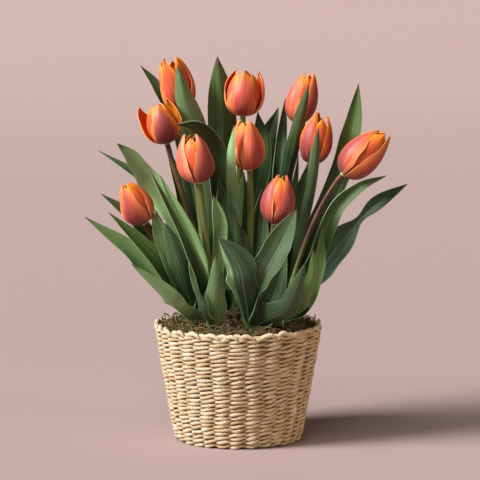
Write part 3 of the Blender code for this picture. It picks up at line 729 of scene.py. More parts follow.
def length_property(name, description, default):
    """A length that the user can change."""
    return bpy.props.FloatProperty(name=name, description=description, default=default, min=0, unit="LENGTH")


def count_property(name, description, default, low, high):
    """A number of like parts that the user can change."""
    return bpy.props.IntProperty(name=name, description=description, default=default, min=low, max=high)


def strength_property(name, description, default):
    """A light's strength that the user can change."""
    return bpy.props.FloatProperty(name=name, description=description, default=default, min=0)


class TulipBasketSettings(bpy.types.PropertyGroup):
    """Sizes and colours of the basket."""

    stakes: count_property("Stakes", "Upright stakes round the basket", 28, 8, 60)
    rows: count_property("Rows", "Twined rows up the wall", 27, 4, 60)
    strand: length_property("Strand", "Half height of a strand where it crosses a stake", 2.3 * MM)
    pale: colour_property("Pale straw", "Colour of the palest strands", (0.70, 0.595, 0.44))
    tan: colour_property("Tan straw", "Colour of the darkest strands", (0.46, 0.285, 0.125))


class TulipMossSettings(bpy.types.PropertyGroup):
    """Sizes and colours of the moss."""

    strands: count_property("Strands", "Loose curly strands", 1500, 0, 3000)
    thickness: length_property("Thickness", "Half thickness of a strand", 0.42 * MM)
    brown: colour_property("Brown", "Colour of old moss", (0.022, 0.012, 0.006))
    tan: colour_property("Tan", "Colour of dry strands", (0.60, 0.43, 0.18))
    green: colour_property("Green", "Colour of fresh strands", (0.30, 0.30, 0.07))


class TulipFoliageSettings(bpy.types.PropertyGroup):
    """Sizes and colours of the leaves and stems."""

    thickness: length_property("Leaf thickness", "Thickness of a blade", 0.7 * MM)
    glaucous: colour_property("Grey green", "Waxy blades", (0.064, 0.108, 0.044))
    glaucous_dark: colour_property(
        "Dark grey green", "Between the veins of waxy blades", (0.008, 0.023, 0.006)
    )
    fresh: colour_property("Fresh green", "Young blades", (0.130, 0.210, 0.034))
    fresh_dark: colour_property(
        "Dark fresh green", "Between the veins of young blades", (0.022, 0.055, 0.006)
    )
    pale: colour_property("Pale", "Bleached young blades", (0.36, 0.56, 0.24))
    margin: colour_property("Margin", "Thin edge of a blade", (0.27, 0.34, 0.17))
    foot: colour_property("Foot", "Foot of blades and stems", (0.20, 0.25, 0.05))
    stem: colour_property("Stem", "Stems", (0.12, 0.19, 0.035))
    flush: colour_property("Flush", "Stems under their blooms", (0.105, 0.025, 0.015))


class TulipBloomSettings(bpy.types.PropertyGroup):
    """Sizes and colours of the blooms."""

    thickness: length_property("Petal thickness", "Thickness of a petal", 0.7 * MM)
    orange: colour_property("Orange", "Petals", (0.76, 0.095, 0.012))
    blush: colour_property("Blush", "Pinker petals", (0.62, 0.135, 0.095))
    salmon: colour_property("Salmon", "Pale streaks", (0.76, 0.23, 0.125))
    peach: colour_property("Peach", "Pale margins of pinker petals", (0.82, 0.32, 0.165))
    gold: colour_property("Gold", "Margins and tips", (0.90, 0.27, 0.008))
    rose: colour_property("Rose", "Outer part of the flame", (0.40, 0.062, 0.05))
    plum: colour_property("Plum", "Heart of the flame", (0.13, 0.032, 0.036))
    base: colour_property("Base", "Foot of the petals", (0.60, 0.44, 0.19))
    inside: colour_property("Inside", "Petals' inner faces", (0.66, 0.035, 0.003))


class TulipStageSettings(bpy.types.PropertyGroup):
    """Floor, light and camera."""

    floor: colour_property("Floor", "Floor and backdrop", (0.345, 0.243, 0.220))
    key: strength_property("Key light", "Strength of the key light", 6.4)
    top: strength_property("Top light", "Strength of the soft light above", 1.5)
    fill: strength_property("Fill light", "Watts of the fill light", 0.18)
    sky: strength_property("Sky", "Strength of the even light", 0.035)
    lens: bpy.props.FloatProperty(name="Lens", description="Focal length in millimetres", default=172, min=1)


# ---- Basket ----


def wander(angle, height):
    """How far the columns of the weave stand aside of even places, in radians of the weave."""
    return COLUMN_WANDER * ripple(angle, height, SEED, (2, 3, 5, 9))


def weave_row(settings, row, strand):
    """One strand of a twined row: it passes in front of every second stake and behind the others."""
    stakes = settings.stakes
    height = FIRST_ROW + (LAST_ROW - FIRST_ROW) * row / (settings.rows - 1)
    made, angle, turn = ring(segments=stakes * 9, sides=7, radius=80 * MM)
    phase = stakes / 2 * angle + math.pi * strand + wander(angle, height)
    phase = phase + 0.3 * ripple(angle, row * 1.7, SEED + 9, (5, 8, 11))
    level = height + 1.1 * MM * ripple(angle, height, SEED + 1, (3, 4, 7))
    front = np.tanh(1.4 * np.cos(phase)) / math.tanh(1.4)
    uneven = ripple(angle, row * 0.37, SEED + 2, (13, 17, 23))
    swell = ripple(angle, row * 0.71, SEED + 3, (9, 14, 19))
    sag = ripple(angle, row * 1.1, SEED + 8, (11, 17, 25))
    cross = np.cos(phase) ** 2
    middle = basket_radius(level) - WALL_MIDDLE + (1.7 + 0.6 * uneven) * MM * front
    rise = level + (1.0 + 0.6 * swell) * MM * np.sin(phase) + 0.5 * MM * sag
    thick = (1.1 + 0.7 * cross + 0.3 * swell) * MM
    tall = settings.strand * (0.62 + 0.36 * cross + 0.18 * uneven)
    lowest = 0.3 * MM
    fill_ring(made, angle, middle + thick * np.cos(turn), np.maximum(rise + tall * np.sin(turn), lowest))
    tone = 0.5 + 0.3 * ripple(angle, row * 0.53 + strand, SEED + 4, (5, 8, 14)) + 0.25 * uneven
    tone = tone + 0.12 * math.sin(row * 2.4 + strand)
    # front also sets the painted shade on a strand where it passes behind a stake
    keep(made, "straw", np.stack([tone, front, turn * 0], axis=1))
    return made


def stake(settings, number):
    """One upright stake in the middle of the wall."""
    deselect()
    bpy.ops.mesh.primitive_cylinder_add(vertices=6, radius=1.1 * MM, depth=1.0, location=(0, 0, 0))
    made = bpy.context.object
    bpy.ops.object.mode_set(mode="EDIT")
    bpy.ops.mesh.select_all(action="SELECT")
    bpy.ops.mesh.bisect(plane_co=(0, 0, 0), plane_no=(0, 0, 1))
    bpy.ops.object.mode_set(mode="OBJECT")
    across, aside, share = points_of(made).T
    height = FIRST_ROW + (RIM_FOOT - FIRST_ROW) * (share + 0.5)
    angle = TAU * number / settings.stakes
    angle = angle - wander(angle, height) * 2 / settings.stakes
    radius = basket_radius(height) - WALL_MIDDLE + across
    x = radius * np.cos(angle) - aside * np.sin(angle)
    y = radius * np.sin(angle) + aside * np.cos(angle)
    place_points(made, np.stack([x, y, height], axis=1))
    # the second channel, 0.2, gives the stakes a little painted shade
    keep(made, "straw", (0.35, 0.2, 0))
    return made


def rim_ring(settings, order):
    """A border strand: it arches over each space between two stakes, behind one arch and before the next."""
    stakes = settings.stakes
    made, angle, turn = ring(segments=stakes * 14, sides=8, radius=84 * MM)
    phase = stakes / 2 * angle + wander(angle, RIM_FOOT) + (math.pi / 2 if order else 0)
    arch = np.abs(np.sin(phase)) ** 0.7
    along = np.cos(np.mod(phase, math.pi))
    size = 1 + 0.5 * ripple(angle, 0.3 + order, SEED + 5, (6, 11, 15))
    level = RIM_FOOT + (-2.0 + (5.0 - 1.4 * order) * arch * size) * MM
    middle = basket_radius(level) - WALL_MIDDLE + (0.9 - 2.6 * order) * MM - 1.3 * MM * along
    thick = (1.5 + 0.9 * arch + 0.3 * (size - 1)) * MM
    fill_ring(made, angle, middle + thick * np.cos(turn), level + 1.05 * thick * np.sin(turn))
    tone = 0.65 + 0.4 * ripple(angle, 2.0 + order, SEED + 6, (7, 14, 20))
    # the second channel paints shade at the feet of the arches
    keep(made, "straw", np.stack([tone, arch * 1.2 - 0.6, arch * 0], axis=1))
    return made


def foot_ring(settings, order):
    """One coiled row of the basket's underside."""
    share = (order + 1) / UNDERSIDE_ROWS
    radius = (basket_radius(FIRST_ROW) - WALL_MIDDLE - 3.4 * MM) * share
    made, angle, turn = ring(segments=max(16, int(96 * share)), sides=6, radius=radius)
    wave = np.cos(settings.stakes / 2 * angle + math.pi * order)
    level = 2.1 * MM - 0.5 * MM * wave
    fill_ring(made, angle, radius + 1.95 * MM * np.cos(turn), level + 1.3 * MM * np.sin(turn))
    # the second channel paints a little shade where the coil rises
    keep(made, "straw", np.stack([0.45 + 0.2 * wave, 0.55 + 0.4 * wave, wave * 0], axis=1))
    return made


class TULIP_OT_basket(bpy.types.Operator):
    """Twine the basket: stakes, rows of paired strands, arched border and coiled underside"""

    bl_idname = "tulip.basket"
    bl_label = "Basket"

    def execute(self, context):
        settings = context.scene.tulip_basket
        straw = straw_material("twined_straw", settings, 0.0)
        half = settings.rows // 2
        for name, rows in (("basket_lower", range(half)), ("basket_upper", range(half, settings.rows))):
            strands = [weave_row(settings, row, strand) for row in rows for strand in (0, 1)]
            self.finish(strands, name, straw)
        stakes = [stake(settings, number) for number in range(settings.stakes)]
        # the stakes are darkened all over with painted shade
        self.finish(stakes, "basket_stakes", straw_material("stake_straw", settings, 0.4), 60)
        border = [rim_ring(settings, order) for order in (0, 1)]
        self.finish(border, "basket_border", straw)
        coil = [foot_ring(settings, order) for order in range(UNDERSIDE_ROWS)]
        self.finish(coil, "basket_underside", straw)
        return {"FINISHED"}

    def finish(self, strands, name, material, angle=180):
        """Join strands into one finished piece of the basket."""
        piece = join(strands, name)
        piece.data.materials.append(material)
        smooth(piece, angle)
        finish_piece(piece, "straw", "basket")


# ---- Moss ----


BASKET_AT_MOSS = basket_radius(MOSS_EDGE)
MOSS_REACH = BASKET_AT_MOSS - LINER_GAP
STRAND_REACH = BASKET_AT_MOSS - 6.0 * MM  # no strand goes beyond this radius
STRAND_ROOTS = BASKET_AT_MOSS - 7.0 * MM  # and none starts beyond this one


def moss_height(x, y):
    """Top of the moss: a low lumpy mound that dips round each shoot."""
    share = math.hypot(x, y) / MOSS_REACH
    height = MOSS_MIDDLE + (MOSS_EDGE - MOSS_MIDDLE) * share**2
    height += MOSS_LUMP * noise.noise(Vector((x, y, 0)) / (11 * MM))
    for plant in PLANTS:
        reach = math.hypot(x - plant.place[0] * MM, y - plant.place[1] * MM) / MOSS_DIP_RADIUS
        height -= MOSS_DIP * math.exp(-reach * reach)
    return height


def moss_grain(x, y):
    """Fine lumps on the bed of moss."""
    total = 0.0
    for size, rise, level in MOSS_GRAINS:
        total += noise.noise(Vector((x, y, level * MM)) / (size * MM)) * rise * MM
    return total


def moss_curl(rng, x, y, heading, length, loft):
    """Points of one curly strand that leaves the moss, arches over and comes back to it."""
    points = []
    curl = rng.uniform(-2.4, 2.4)
    for step in range(STRAND_STEPS + 1):
        share = step / STRAND_STEPS
        turn = heading + curl * share + 0.5 * math.sin(share * 9 + curl)
        if points:
            x += math.cos(turn) * length / STRAND_STEPS
            y += math.sin(turn) * length / STRAND_STEPS
        excess = math.hypot(x, y) / STRAND_REACH
        if excess > 1:
            x /= excess
            y /= excess
        lift = loft * math.sin(math.pi * share) + 0.6 * MM * math.sin(share * 17 + curl * 5)
        points.append((x, y, moss_height(x, y) + lift - 0.4 * MM))
    return points


class TULIP_OT_moss(bpy.types.Operator):
    """Lay the lumpy bed of moss"""

    bl_idname = "tulip.moss"
    bl_label = "Moss bed"

    def execute(self, context):
        settings = context.scene.tulip_moss
        deselect()
        bpy.ops.mesh.primitive_grid_add(x_subdivisions=90, y_subdivisions=90, size=2)
        bed = bpy.context.object
        x, y, _ = points_of(bed).T
        edge = MOSS_REACH - GAP
        spread = np.stack([x * np.sqrt(1 - y * y / 2), y * np.sqrt(1 - x * x / 2)], axis=1) * edge
        heights = [moss_height(*spot) + moss_grain(*spot) - 0.5 * MM for spot in spread]
        place_points(bed, np.column_stack([spread, heights]))
        solidify(bed, 3 * MM, -1)
        bed = join([bed], "moss_bed")
        green = toned(settings.green, 0.5)
        moss = plain_material("moss_bed", settings.brown, green, 90.0, 0.9, 1.5 * MM, specular_ior_level=0.1)
        bed.data.materials.append(moss)
        smooth(bed, 180)
        finish_piece(bed, "moss", "moss")
        return {"FINISHED"}


class TULIP_OT_moss_strands(bpy.types.Operator):
    """Scatter the loose curly strands over the moss"""

    bl_idname = "tulip.moss_strands"
    bl_label = "Moss strands"

    def execute(self, context):
        settings = context.scene.tulip_moss
        rng = random.Random(SEED)
        paths = []
        for place, heading, length, loft, choice in TUFTS:
            x, y = place[0] * MM, place[1] * MM
            points = moss_curl(rng, x, y, math.radians(heading), length * MM, loft * MM)
            paths.append((choice, points, self.sizes(1.4)))
        for _ in range(settings.strands):
            reach = STRAND_ROOTS * math.sqrt(rng.uniform(0.05, 1))
            turn = rng.uniform(0, TAU)
            x, y = reach * math.cos(turn), reach * math.sin(turn)
            loft = rng.uniform(0.5, 3.5) * MM
            if rng.random() < 0.12:
                loft = rng.uniform(4, 9) * MM
            length = rng.uniform(8, 22) * MM
            choice = rng.choices((0, 1, 2, 3), (3, 5, 4, 2))[0]
            size = rng.uniform(0.7, 1.2)
            points = moss_curl(rng, x, y, rng.uniform(0, TAU), length, loft)
            paths.append((choice, points, self.sizes(size)))
        brown, tan, green = settings.brown, settings.tan, settings.green
        tones = (
            ("moss_brown", toned(brown, 2.4), toned(tan, 0.36), 0.8),
            ("moss_tan", tan, toned(tan, 0.5), 0.75),
            ("moss_green", green, toned(green, 0.5), 0.75),
            ("moss_pale", (0.56, 0.48, 0.27), tan, 0.7),
        )
        materials = [
            plain_material(name, first, second, 60.0, roughness, specular_ior_level=0.15)
            for name, first, second, roughness in tones
        ]
        strands = tubes("moss_strands", settings.thickness, 0, paths, materials)
        smooth(strands, 180)
        finish_piece(strands, "moss", "moss")
        return {"FINISHED"}

    def sizes(self, size):
        """A strand's size at each of its points, fine at both ends."""
        steps = range(STRAND_STEPS + 1)
        return [size * (1.15 - 0.75 * abs(2 * step / STRAND_STEPS - 1) ** 3) for step in steps]


# ---- Stems and leaves ----


def bloom_axis(bloom):
    """Foot, unit axis and length of a bloom."""
    foot = Vector(bloom.foot) * MM
    span = Vector(bloom.top) * MM - foot
    return foot, span.normalized(), span.length


def stem_trail(plant, count):
    """Points along the stem's middle: straight up through the moss, then a smooth curve to the bloom."""
    foot, axis, _ = bloom_axis(plant.bloom)
    neck = foot - axis * GAP
    root = Vector((plant.place[0] * MM, plant.place[1] * MM, BULB_NOSE + GAP))
    bend = Vector((root.x, root.y, STEM_STRAIGHT))
    reach = (neck - bend).length * STEM_SWEEP
    rise = Vector((0, 0, reach))
    return [root] + interpolate_bezier(bend, bend + rise * 0.45, neck - axis * reach * 0.7, neck, count)


def stem_place(plant, height):
    """Where the stem's middle is at a height."""
    trail = stem_trail(plant, 24)
    for low, high in zip(trail, trail[1:]):
        if height <= high.z:
            return low.lerp(high, (height - low.z) / (high.z - low.z))
    return trail[-1]


def make_stem(plant, name, material):
    """A round stem, thinner towards its neck."""
    trail = stem_trail(plant, 28)
    sizes = []
    for share in np.linspace(0, 1, len(trail)):
        swell = 0.05 * math.sin(share * 14 + plant.place[0])
        taper = 1 + (STEM_NECK_RADIUS / STEM_ROOT_RADIUS - 1) * share
        sizes.append((taper + swell) * (plant.slim + (1 - plant.slim) * smoothstep((share - 0.88) / 0.12)))
    made = tubes(name, STEM_ROOT_RADIUS, 6, [(0, trail, sizes)], [material])
    points = points_of(made)
    share = (points[:, 2] - STEM_STRAIGHT) / (trail[-1].z - STEM_STRAIGHT)
    middles = np.array([tuple(place) for place in trail])
    near = np.abs(points[:, None, 2] - middles[None, :, 2]).argmin(axis=1)
    sunny = np.clip(0.6 - 0.9 * (points[:, 0] - middles[near, 0]) / STEM_ROOT_RADIUS, 0, 1)
    flush = plant.flush * (0.35 + 0.65 * sunny)
    keep(made, "stem", np.stack([flush, np.clip(share, 0, 1), share * 0], axis=1))
    smooth(made, 50)
    return made


def route_point(points, share):
    """The point and tangent at a share of a smooth curve through the given points."""
    spans = len(points) - 1
    at = min(max(share, 0.0), 1.0) * spans
    index = min(int(at), spans - 1)
    t = at - index
    start, end = points[index], points[index + 1]
    before = points[index - 1] if index else start * 2 - end
    after = points[index + 2] if index + 2 <= spans else end * 2 - start
    leave = (end - before) / 2
    arrive = (after - start) / 2
    square, cube = t * t, t * t * t
    place = start * (2 * cube - 3 * square + 1) + leave * (cube - 2 * square + t)
    place += end * (3 * square - 2 * cube) + arrive * (cube - square)
    slope = (start - end) * (6 * square - 6 * t) + leave * (3 * square - 4 * t + 1)
    slope += arrive * (3 * square - 2 * t)
    return place, slope.normalized()


def leaf_width(share, belly):
    """Width of a blade along it, as a share of its widest: a clasping foot, a belly and a pointed tip."""
    if share < belly:
        return LEAF_FOOT + (1 - LEAF_FOOT) * math.sin(math.pi / 2 * share / belly)
    return max(0.015, 1 - ((share - belly) / (1 - belly)) ** 2)


def section(side, bend, roll, fold):
    """Across and lift, in half widths, of a point on a blade's section: a folded arc that can roll back."""
    across = lift = 0.0
    for step in range(SECTION_STEPS):
        at = side * (step + 0.5) / SECTION_STEPS
        angle = at * bend + fold * math.tanh(at / 0.07)
        back = roll[0] if at < 0 else roll[1]
        angle -= math.copysign(back * smoothstep((abs(at) - 0.6) / 0.4), at)
        across += math.cos(angle) * side / SECTION_STEPS
        lift += math.sin(angle) * side / SECTION_STEPS
    return across, lift


def leaf_frill(leaf, share, side):
    """How much wider the waves make a blade near its edge, as a share, and how far they lift it."""
    wider = 0.12 * math.sin(TAU * (2.4 * share + 0.25 * side + leaf.height / 11))
    wider += 0.06 * math.sin(TAU * (5.1 * share - 0.2 * side + leaf.side / 40))
    wider *= side * side * math.sin(math.pi * min(share * 1.2, 1.0))
    lift = leaf.wave * side * side * math.sin(TAU * (2.2 * share + leaf.side / 90))
    lift += 0.6 * abs(side) ** 3 * math.sin(TAU * (4.7 * share + side * 0.3 + leaf.height / 7))
    lift += 0.25 * math.sin(6 * side + leaf.height) * math.sin(TAU * (1.7 * share + leaf.side / 50))
    return wider, lift * MM * math.sin(math.pi * share)


def leaf_surface(leaf, plant):
    """A function from (share along, side -1 to 1) to a point of the leaf's middle surface."""
    axis = stem_place(plant, leaf.height * MM)
    clasp_side = direction(leaf.side)
    root = axis + clasp_side * STEM_ROOT_RADIUS * 0.55
    route = [Vector(point) * MM for point in leaf.route]
    reach = (route[0] - root).length
    collar = root + (route[0] - root) * 0.22 + Vector((0, 0, reach * 0.10))
    points = [root, collar, *route]
    blade_side = direction(*leaf.faces)

    def surface(share, side):
        place, along = route_point(points, share)
        turn = smoothstep(share / 0.5)
        facing = -clasp_side * (1 - turn) + blade_side * turn
        facing = (facing - along * facing.dot(along)).normalized()
        facing.rotate(Quaternion(along, math.radians(leaf.twist) * smoothstep((share - 0.55) / 0.35)))
        across = along.cross(facing)
        half = leaf.width * MM / 2 * leaf_width(share, leaf.belly)
        half *= 1 - leaf.waist[1] * math.exp(-(((share - leaf.waist[0]) / 0.085) ** 2))
        bend = CLASP + (math.radians(leaf.cup) - CLASP) * smoothstep(share / 0.45)
        rolled = math.sin(math.pi * min(share / 0.9, 1.0)) ** 0.5
        fold = math.radians(leaf.fold) * smoothstep(share * 2.5)
        x, y = section(side, bend, (leaf.roll[0] * rolled, leaf.roll[1] * rolled), fold)
        wider, lift = leaf_frill(leaf, share, side)
        return place + across * (half * x * (1 + wider)) + facing * (half * y + lift)

    return surface


def make_blade(surface, rows, columns, thickness, materials, offset=0):
    """A thin solid blade over a surface, with its side and share in its own map."""
    deselect()
    bpy.ops.mesh.primitive_grid_add(x_subdivisions=columns, y_subdivisions=rows, size=1)
    made = bpy.context.object
    for vertex in made.data.vertices:
        vertex.co = surface(vertex.co.y + 0.5, 2 * vertex.co.x)
    for material in materials:
        made.data.materials.append(material)
    solidify(made, thickness, 0, offset)
    return made


class TULIP_OT_stems(bpy.types.Operator):
    """Grow the stems and their leaves"""

    bl_idname = "tulip.stems"
    bl_label = "Leafy stems"

    def execute(self, context):
        settings = context.scene.tulip_foliage
        leaf_green = leaf_material("waxy_leaf", settings)
        stem_green = stem_material("smooth_stem", settings)
        for number, plant in enumerate(PLANTS, 1):
            node = f"leafy_stem_{number:02d}"
            stem = make_stem(plant, f"stem_{number:02d}", stem_green)
            finish_piece(stem, "leaf_green", node)
            blades = []
            # painted shade on the lower halves of the leaves, stronger towards the back of the clump
            shadow = BACK_SHADOW * smoothstep((plant.place[1] + 35) / 55)
            for order, leaf in enumerate(plant.leaves):
                blade = make_blade(leaf_surface(leaf, plant), 56, 14, settings.thickness, [leaf_green])
                seed = (number * 7 + order * 3) % 10 / 10
                left, right = leaf.roll
                keep(blade, "leaf", (leaf.tone, seed, leaf.pale))
                # the third channel of curl carries that painted shade
                keep(blade, "curl", (ROLL_BLEACH * left, ROLL_BLEACH * right, max(leaf.deep, shadow)))
                blades.append(blade)
            leaves = join(blades, f"leaves_{number:02d}")
            smooth(leaves, 60)
            finish_piece(leaves, "leaf_green", node)
        return {"FINISHED"}


# ---- Blooms ----


def petal_width(share, inner):
    """Half width of a petal along it, as a share of its widest: the inner petals are blunter."""
    if share < 0.4:
        return 0.3 + 0.7 * math.sin(math.pi / 2 * share / 0.4)
    return max(0.015, 1 - ((share - 0.4) / 0.6) ** (2.2 if inner else 1.65))


def petal_surface(bloom, order):
    """A function from (share along, side -1 to 1) to a point of one petal's middle surface."""
    foot, axis, tall = bloom_axis(bloom)
    inner = order % 2
    opening = bloom.opening[order]
    belly = bloom.radius * MM - INNER_PETAL_INSET * inner
    tip_height = tall * (0.97 if inner else 1.0)
    base = Vector((3.0 * MM - 0.8 * MM * inner, 1.4 * MM + 2.2 * MM * inner))
    low = Vector((belly * 1.22, tall * 0.05 + 2.2 * MM * inner))
    high = Vector((belly * (1.16 + 0.22 * opening), tall * 0.6))
    turn = Vector((0, 0, 1)).rotation_difference(axis)
    middle = math.radians(bloom.spin + 60 * order)
    rng = random.Random(SEED + order + int(bloom.foot[0]) * 10)
    lean = rng.uniform(-0.12, 0.12)
    tip_height *= rng.uniform(0.9, 1.0)
    beat = rng.uniform(0, TAU)
    tip = Vector((belly * (0.12 + opening), tip_height))

    def surface(share, side):
        back = 1 - share
        arc = base * back**3 + low * 3 * back**2 * share + high * 3 * back * share**2 + tip * share**3
        half = bloom.radius * MM * (PETAL_ARC - OUTER_PETAL_EASE * (1 - inner)) * petal_width(share, inner)
        half *= 1 + 0.1 * math.sin(TAU * 2.6 * share + beat + 2.2 * side) * smoothstep((share - 0.45) / 0.3)
        spread = min(half / max(arc.x, MM), math.radians(56))
        angle = middle + side * spread + lean * share
        edge = side * side * math.sin(math.pi * share) ** 0.7
        keel = 1 - abs(side) ** 1.3
        out = arc.x - 0.6 * MM * math.exp(-((side / 0.12) ** 2)) * smoothstep(share * 3) * back
        out += 2.0 * MM * keel * smoothstep((share - 0.12) / 0.5) * (1 - 0.6 * inner) - 0.6 * MM
        out += edge * 0.9 * MM * math.sin(TAU * 1.5 * share + beat + 1.2 * side) + edge * 0.5 * MM
        out += 0.35 * MM * math.sin(side * 5.0 + beat) * math.sin(TAU * 1.1 * share + 2 * beat) * share
        return foot + turn @ Vector((out * math.cos(angle), out * math.sin(angle), arc.y))

    return surface


class TULIP_OT_blooms(bpy.types.Operator):
    """Open the blooms: outer and inner petals on a receptacle"""

    bl_idname = "tulip.blooms"
    bl_label = "Blooms"

    def execute(self, context):
        settings = context.scene.tulip_bloom
        faces = [
            petal_outside_material("petal_outside", settings),
            petal_inside_material("petal_inside", settings),
        ]
        for number, plant in enumerate(PLANTS, 1):
            bloom = plant.bloom
            petals = []
            for order in range(PETALS):
                petal = make_blade(petal_surface(bloom, order), 30, 16, settings.thickness, faces, 1)
                inner = order % 2
                flame = INNER_FLAME if inner else bloom.flame[order // 2]
                warm = max(bloom.warm, INNER_WARM) if inner else bloom.warm
                seed = (number * 6 + order) % 17 / 17
                keep(petal, "petal", (flame, warm, seed))
                petals.append(petal)
            piece = join(petals, f"petals_{number:02d}")
            smooth(piece, 60)
            finish_piece(piece, "petal_orange", f"bloom_{number:02d}")
        return {"FINISHED"}


def heart_post(sides, wide, low, high, material):
    """A post in a bloom's middle. wide gives its radius at a share of its height and an angle round it."""
    deselect()
    bpy.ops.mesh.primitive_cylinder_add(vertices=sides, radius=1.0, depth=1.0)
    made = bpy.context.object
    x, y, share = points_of(made).T
    share = share + 0.5
    radius = wide(share, np.arctan2(y, x))
    place_points(made, np.column_stack([x * radius, y * radius, low + (high - low) * share]))
    made.data.materials.append(material)
    return made


def anther(order, material):
    """One long anther, upright in the ring round the pistil."""
    deselect()
    bpy.ops.mesh.primitive_uv_sphere_add(segments=8, ring_count=6, radius=1.0)
    made = bpy.context.object
    turn = Matrix.Rotation(math.radians(60 * order + 30), 4, "Z")
    shape = Matrix.Diagonal((1.1 * MM, 1.1 * MM, 5.5 * MM, 1.0))
    made.data.transform(turn @ Matrix.Translation((ANTHER_RING, 0, 16 * MM)) @ shape)
    made.data.materials.append(material)
    return made


class TULIP_OT_hearts(bpy.types.Operator):
    """Set the receptacle, pistil and stamens in each bloom"""

    bl_idname = "tulip.hearts"
    bl_label = "Hearts"

    def execute(self, context):
        pale = plain_material("pistil_green", (0.40, 0.45, 0.16), (0.55, 0.52, 0.25), 200.0, 0.5)
        dark = plain_material("anther_dark", (0.06, 0.04, 0.03), (0.14, 0.09, 0.03), 400.0, 0.7, 0.3 * MM)
        for number, plant in enumerate(PLANTS, 1):
            foot, axis, _ = bloom_axis(plant.bloom)
            receptacle = heart_post(16, self.receptacle, 0, 5.5 * MM, pale)
            pistil = heart_post(9, self.pistil, 5 * MM, 22 * MM, pale)
            anthers = [anther(order, dark) for order in range(PETALS)]
            heart = join([receptacle, pistil, *anthers], f"heart_{number:02d}")
            lean = Vector((0, 0, 1)).rotation_difference(axis).to_matrix().to_4x4()
            heart.data.transform(Matrix.Translation(foot) @ lean)
            smooth(heart, 50)
            finish_piece(heart, "petal_orange", f"bloom_{number:02d}")
        return {"FINISHED"}

    def receptacle(self, share, angle):
        """The receptacle's radius: as wide as the stem's neck below and wider above."""
        return np.where(share < 0.5, STEM_NECK_RADIUS * 1.02, RECEPTACLE_RADIUS)

    def pistil(self, share, angle):
        """The pistil's radius: it has three ribs."""
        return (2.6 + 0.7 * np.cos(3 * angle)) * MM


# ---- Hidden nodes and stage ----


class TULIP_OT_hidden(bpy.types.Operator):
    """Finish the liner, the soil and the bulbs, whose shapes stay as packed"""

    bl_idname = "tulip.hidden"
    bl_label = "Liner, soil and bulbs"

    def execute(self, context):
        black, grey = (0.02, 0.02, 0.02), (0.035, 0.035, 0.035)
        liner = plain_material("liner_plastic", black, grey, 300.0, 0.45, 0.1 * MM)
        soil = plain_material("damp_soil", (0.035, 0.02, 0.012), (0.09, 0.055, 0.03), 160.0, 0.9, 2.0 * MM)
        skin = plain_material("bulb_skin", (0.30, 0.13, 0.05), (0.52, 0.30, 0.14), 90.0, 0.5, 0.6 * MM)
        finishes = {"grow_pot": liner, "soil": soil}
        finishes.update({f"bulb_{number:02d}": skin for number in range(1, len(PLANTS) + 1)})
        for node, material in finishes.items():
            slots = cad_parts[node].material_slots
            if not slots:
                raise RuntimeError(f"{node} has no material slot")
            for slot in slots:
                slot.material = material
        return {"FINISHED"}


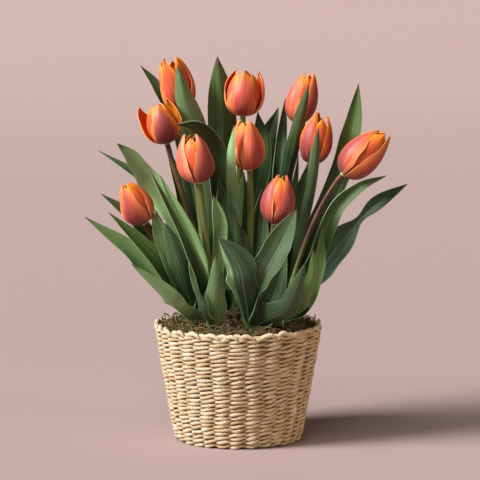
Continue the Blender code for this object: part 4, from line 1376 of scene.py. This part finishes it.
class TULIP_OT_stage(bpy.types.Operator):
    """Set the floor, the backdrop, the lights and the camera"""

    bl_idname = "tulip.stage"
    bl_label = "Stage"

    def execute(self, context):
        scene = context.scene
        settings = scene.tulip_stage
        self.floor(settings)
        fill_travel = Vector(FILL_TARGET) - Vector(FILL_PLACE)
        self.lamp(scene, "key", "SUN", KEY_TRAVEL, settings.key, (0.945, 0.965, 1.0), angle=KEY_SPREAD)
        self.lamp(scene, "top", "SUN", TOP_TRAVEL, settings.top, (0.97, 0.985, 1.0), angle=TOP_SPREAD)
        self.lamp(
            scene, "fill", "AREA", fill_travel, settings.fill, (1.0, 0.79, 0.57), FILL_PLACE,
            shape="DISK", size=0.3, spread=FILL_SPREAD,
        )
        world = bpy.data.worlds.new("even_light")
        world.use_nodes = True
        sky = world.node_tree.nodes["Background"]
        sky.inputs["Color"].default_value = (1.0, 0.91, 0.86, 1.0)
        sky.inputs["Strength"].default_value = settings.sky
        scene.world = world
        scene.view_settings.view_transform = "Standard"
        camera = bpy.data.cameras.new("camera")
        camera.lens = settings.lens
        camera.sensor_width = 36
        shown = bpy.data.objects.new("camera", camera)
        shown.location = CAMERA_PLACE
        shown.rotation_euler = (CAMERA_TILT, 0, 0)
        scene.collection.objects.link(shown)
        scene.camera = shown
        return {"FINISHED"}

    def floor(self, settings):
        """A floor whose far edge is drawn up and rounded into a backdrop."""
        deselect()
        bpy.ops.mesh.primitive_plane_add(size=FLOOR_SIZE, location=(0, 0, -FLOOR_DROP))
        floor = bpy.context.object
        floor.name = "floor"
        bpy.ops.object.mode_set(mode="EDIT")
        bpy.ops.mesh.select_all(action="DESELECT")
        bpy.ops.object.mode_set(mode="OBJECT")
        for edge in floor.data.edges:
            edge.select = all(floor.data.vertices[index].co.y > 0 for index in edge.vertices)
        bpy.ops.object.mode_set(mode="EDIT")
        bpy.ops.mesh.select_mode(type="EDGE")
        bpy.ops.mesh.extrude_region_move(TRANSFORM_OT_translate={"value": (0, 0, BACKDROP_HEIGHT)})
        bpy.ops.object.mode_set(mode="OBJECT")
        bevel = floor.modifiers.new("Bevel", "BEVEL")
        bevel.width = BACKDROP_CURVE
        bevel.segments = 12
        bpy.ops.object.modifier_apply(modifier=bevel.name)
        floor.data.materials.append(plain_material("pale_floor", settings.floor, settings.floor, 3.0, 0.75))
        smooth(floor, 180)

    def lamp(self, scene, name, kind, travel, strength, colour, place=(0, 0, 0), **looks):
        """A light of one kind at its place, turned the way that it travels."""
        light = bpy.data.lights.new(name, kind)
        light.energy = strength
        light.color = colour
        for key, value in looks.items():
            setattr(light, key, value)
        shown = bpy.data.objects.new(name, light)
        shown.location = place
        shown.rotation_euler = Vector(travel).to_track_quat("-Z", "Y").to_euler()
        scene.collection.objects.link(shown)


class TULIP_PT_panel(bpy.types.Panel):
    """Lists the steps and their settings"""

    bl_label = "Potted Tulip"
    bl_idname = "TULIP_PT_panel"
    bl_space_type = "VIEW_3D"
    bl_region_type = "UI"
    bl_category = "Tulip"

    def draw(self, context):
        for operator in OPERATORS:
            self.layout.operator(operator.bl_idname)
        for name, group in GROUPS.items():
            box = self.layout.box()
            for key in group.__annotations__:
                box.prop(getattr(context.scene, name), key)


GROUPS = {
    "tulip_basket": TulipBasketSettings,
    "tulip_moss": TulipMossSettings,
    "tulip_foliage": TulipFoliageSettings,
    "tulip_bloom": TulipBloomSettings,
    "tulip_stage": TulipStageSettings,
}
OPERATORS = (
    TULIP_OT_stage,
    TULIP_OT_basket,
    TULIP_OT_moss,
    TULIP_OT_moss_strands,
    TULIP_OT_stems,
    TULIP_OT_blooms,
    TULIP_OT_hearts,
    TULIP_OT_hidden,
)
CLASSES = (*GROUPS.values(), *OPERATORS, TULIP_PT_panel)


def register():
    """Register the settings, the operators and the panel."""
    for made in CLASSES:
        bpy.utils.register_class(made)
    for name, group in GROUPS.items():
        setattr(bpy.types.Scene, name, bpy.props.PointerProperty(type=group))


def unregister():
    """Take them away again."""
    for name in GROUPS:
        delattr(bpy.types.Scene, name)
    for made in reversed(CLASSES):
        bpy.utils.unregister_class(made)


def main():
    """Build everything."""
    register()
    for operator in OPERATORS:
        group, name = operator.bl_idname.split(".")
        getattr(getattr(bpy.ops, group), name)()


if __name__ == "__main__":
    main()
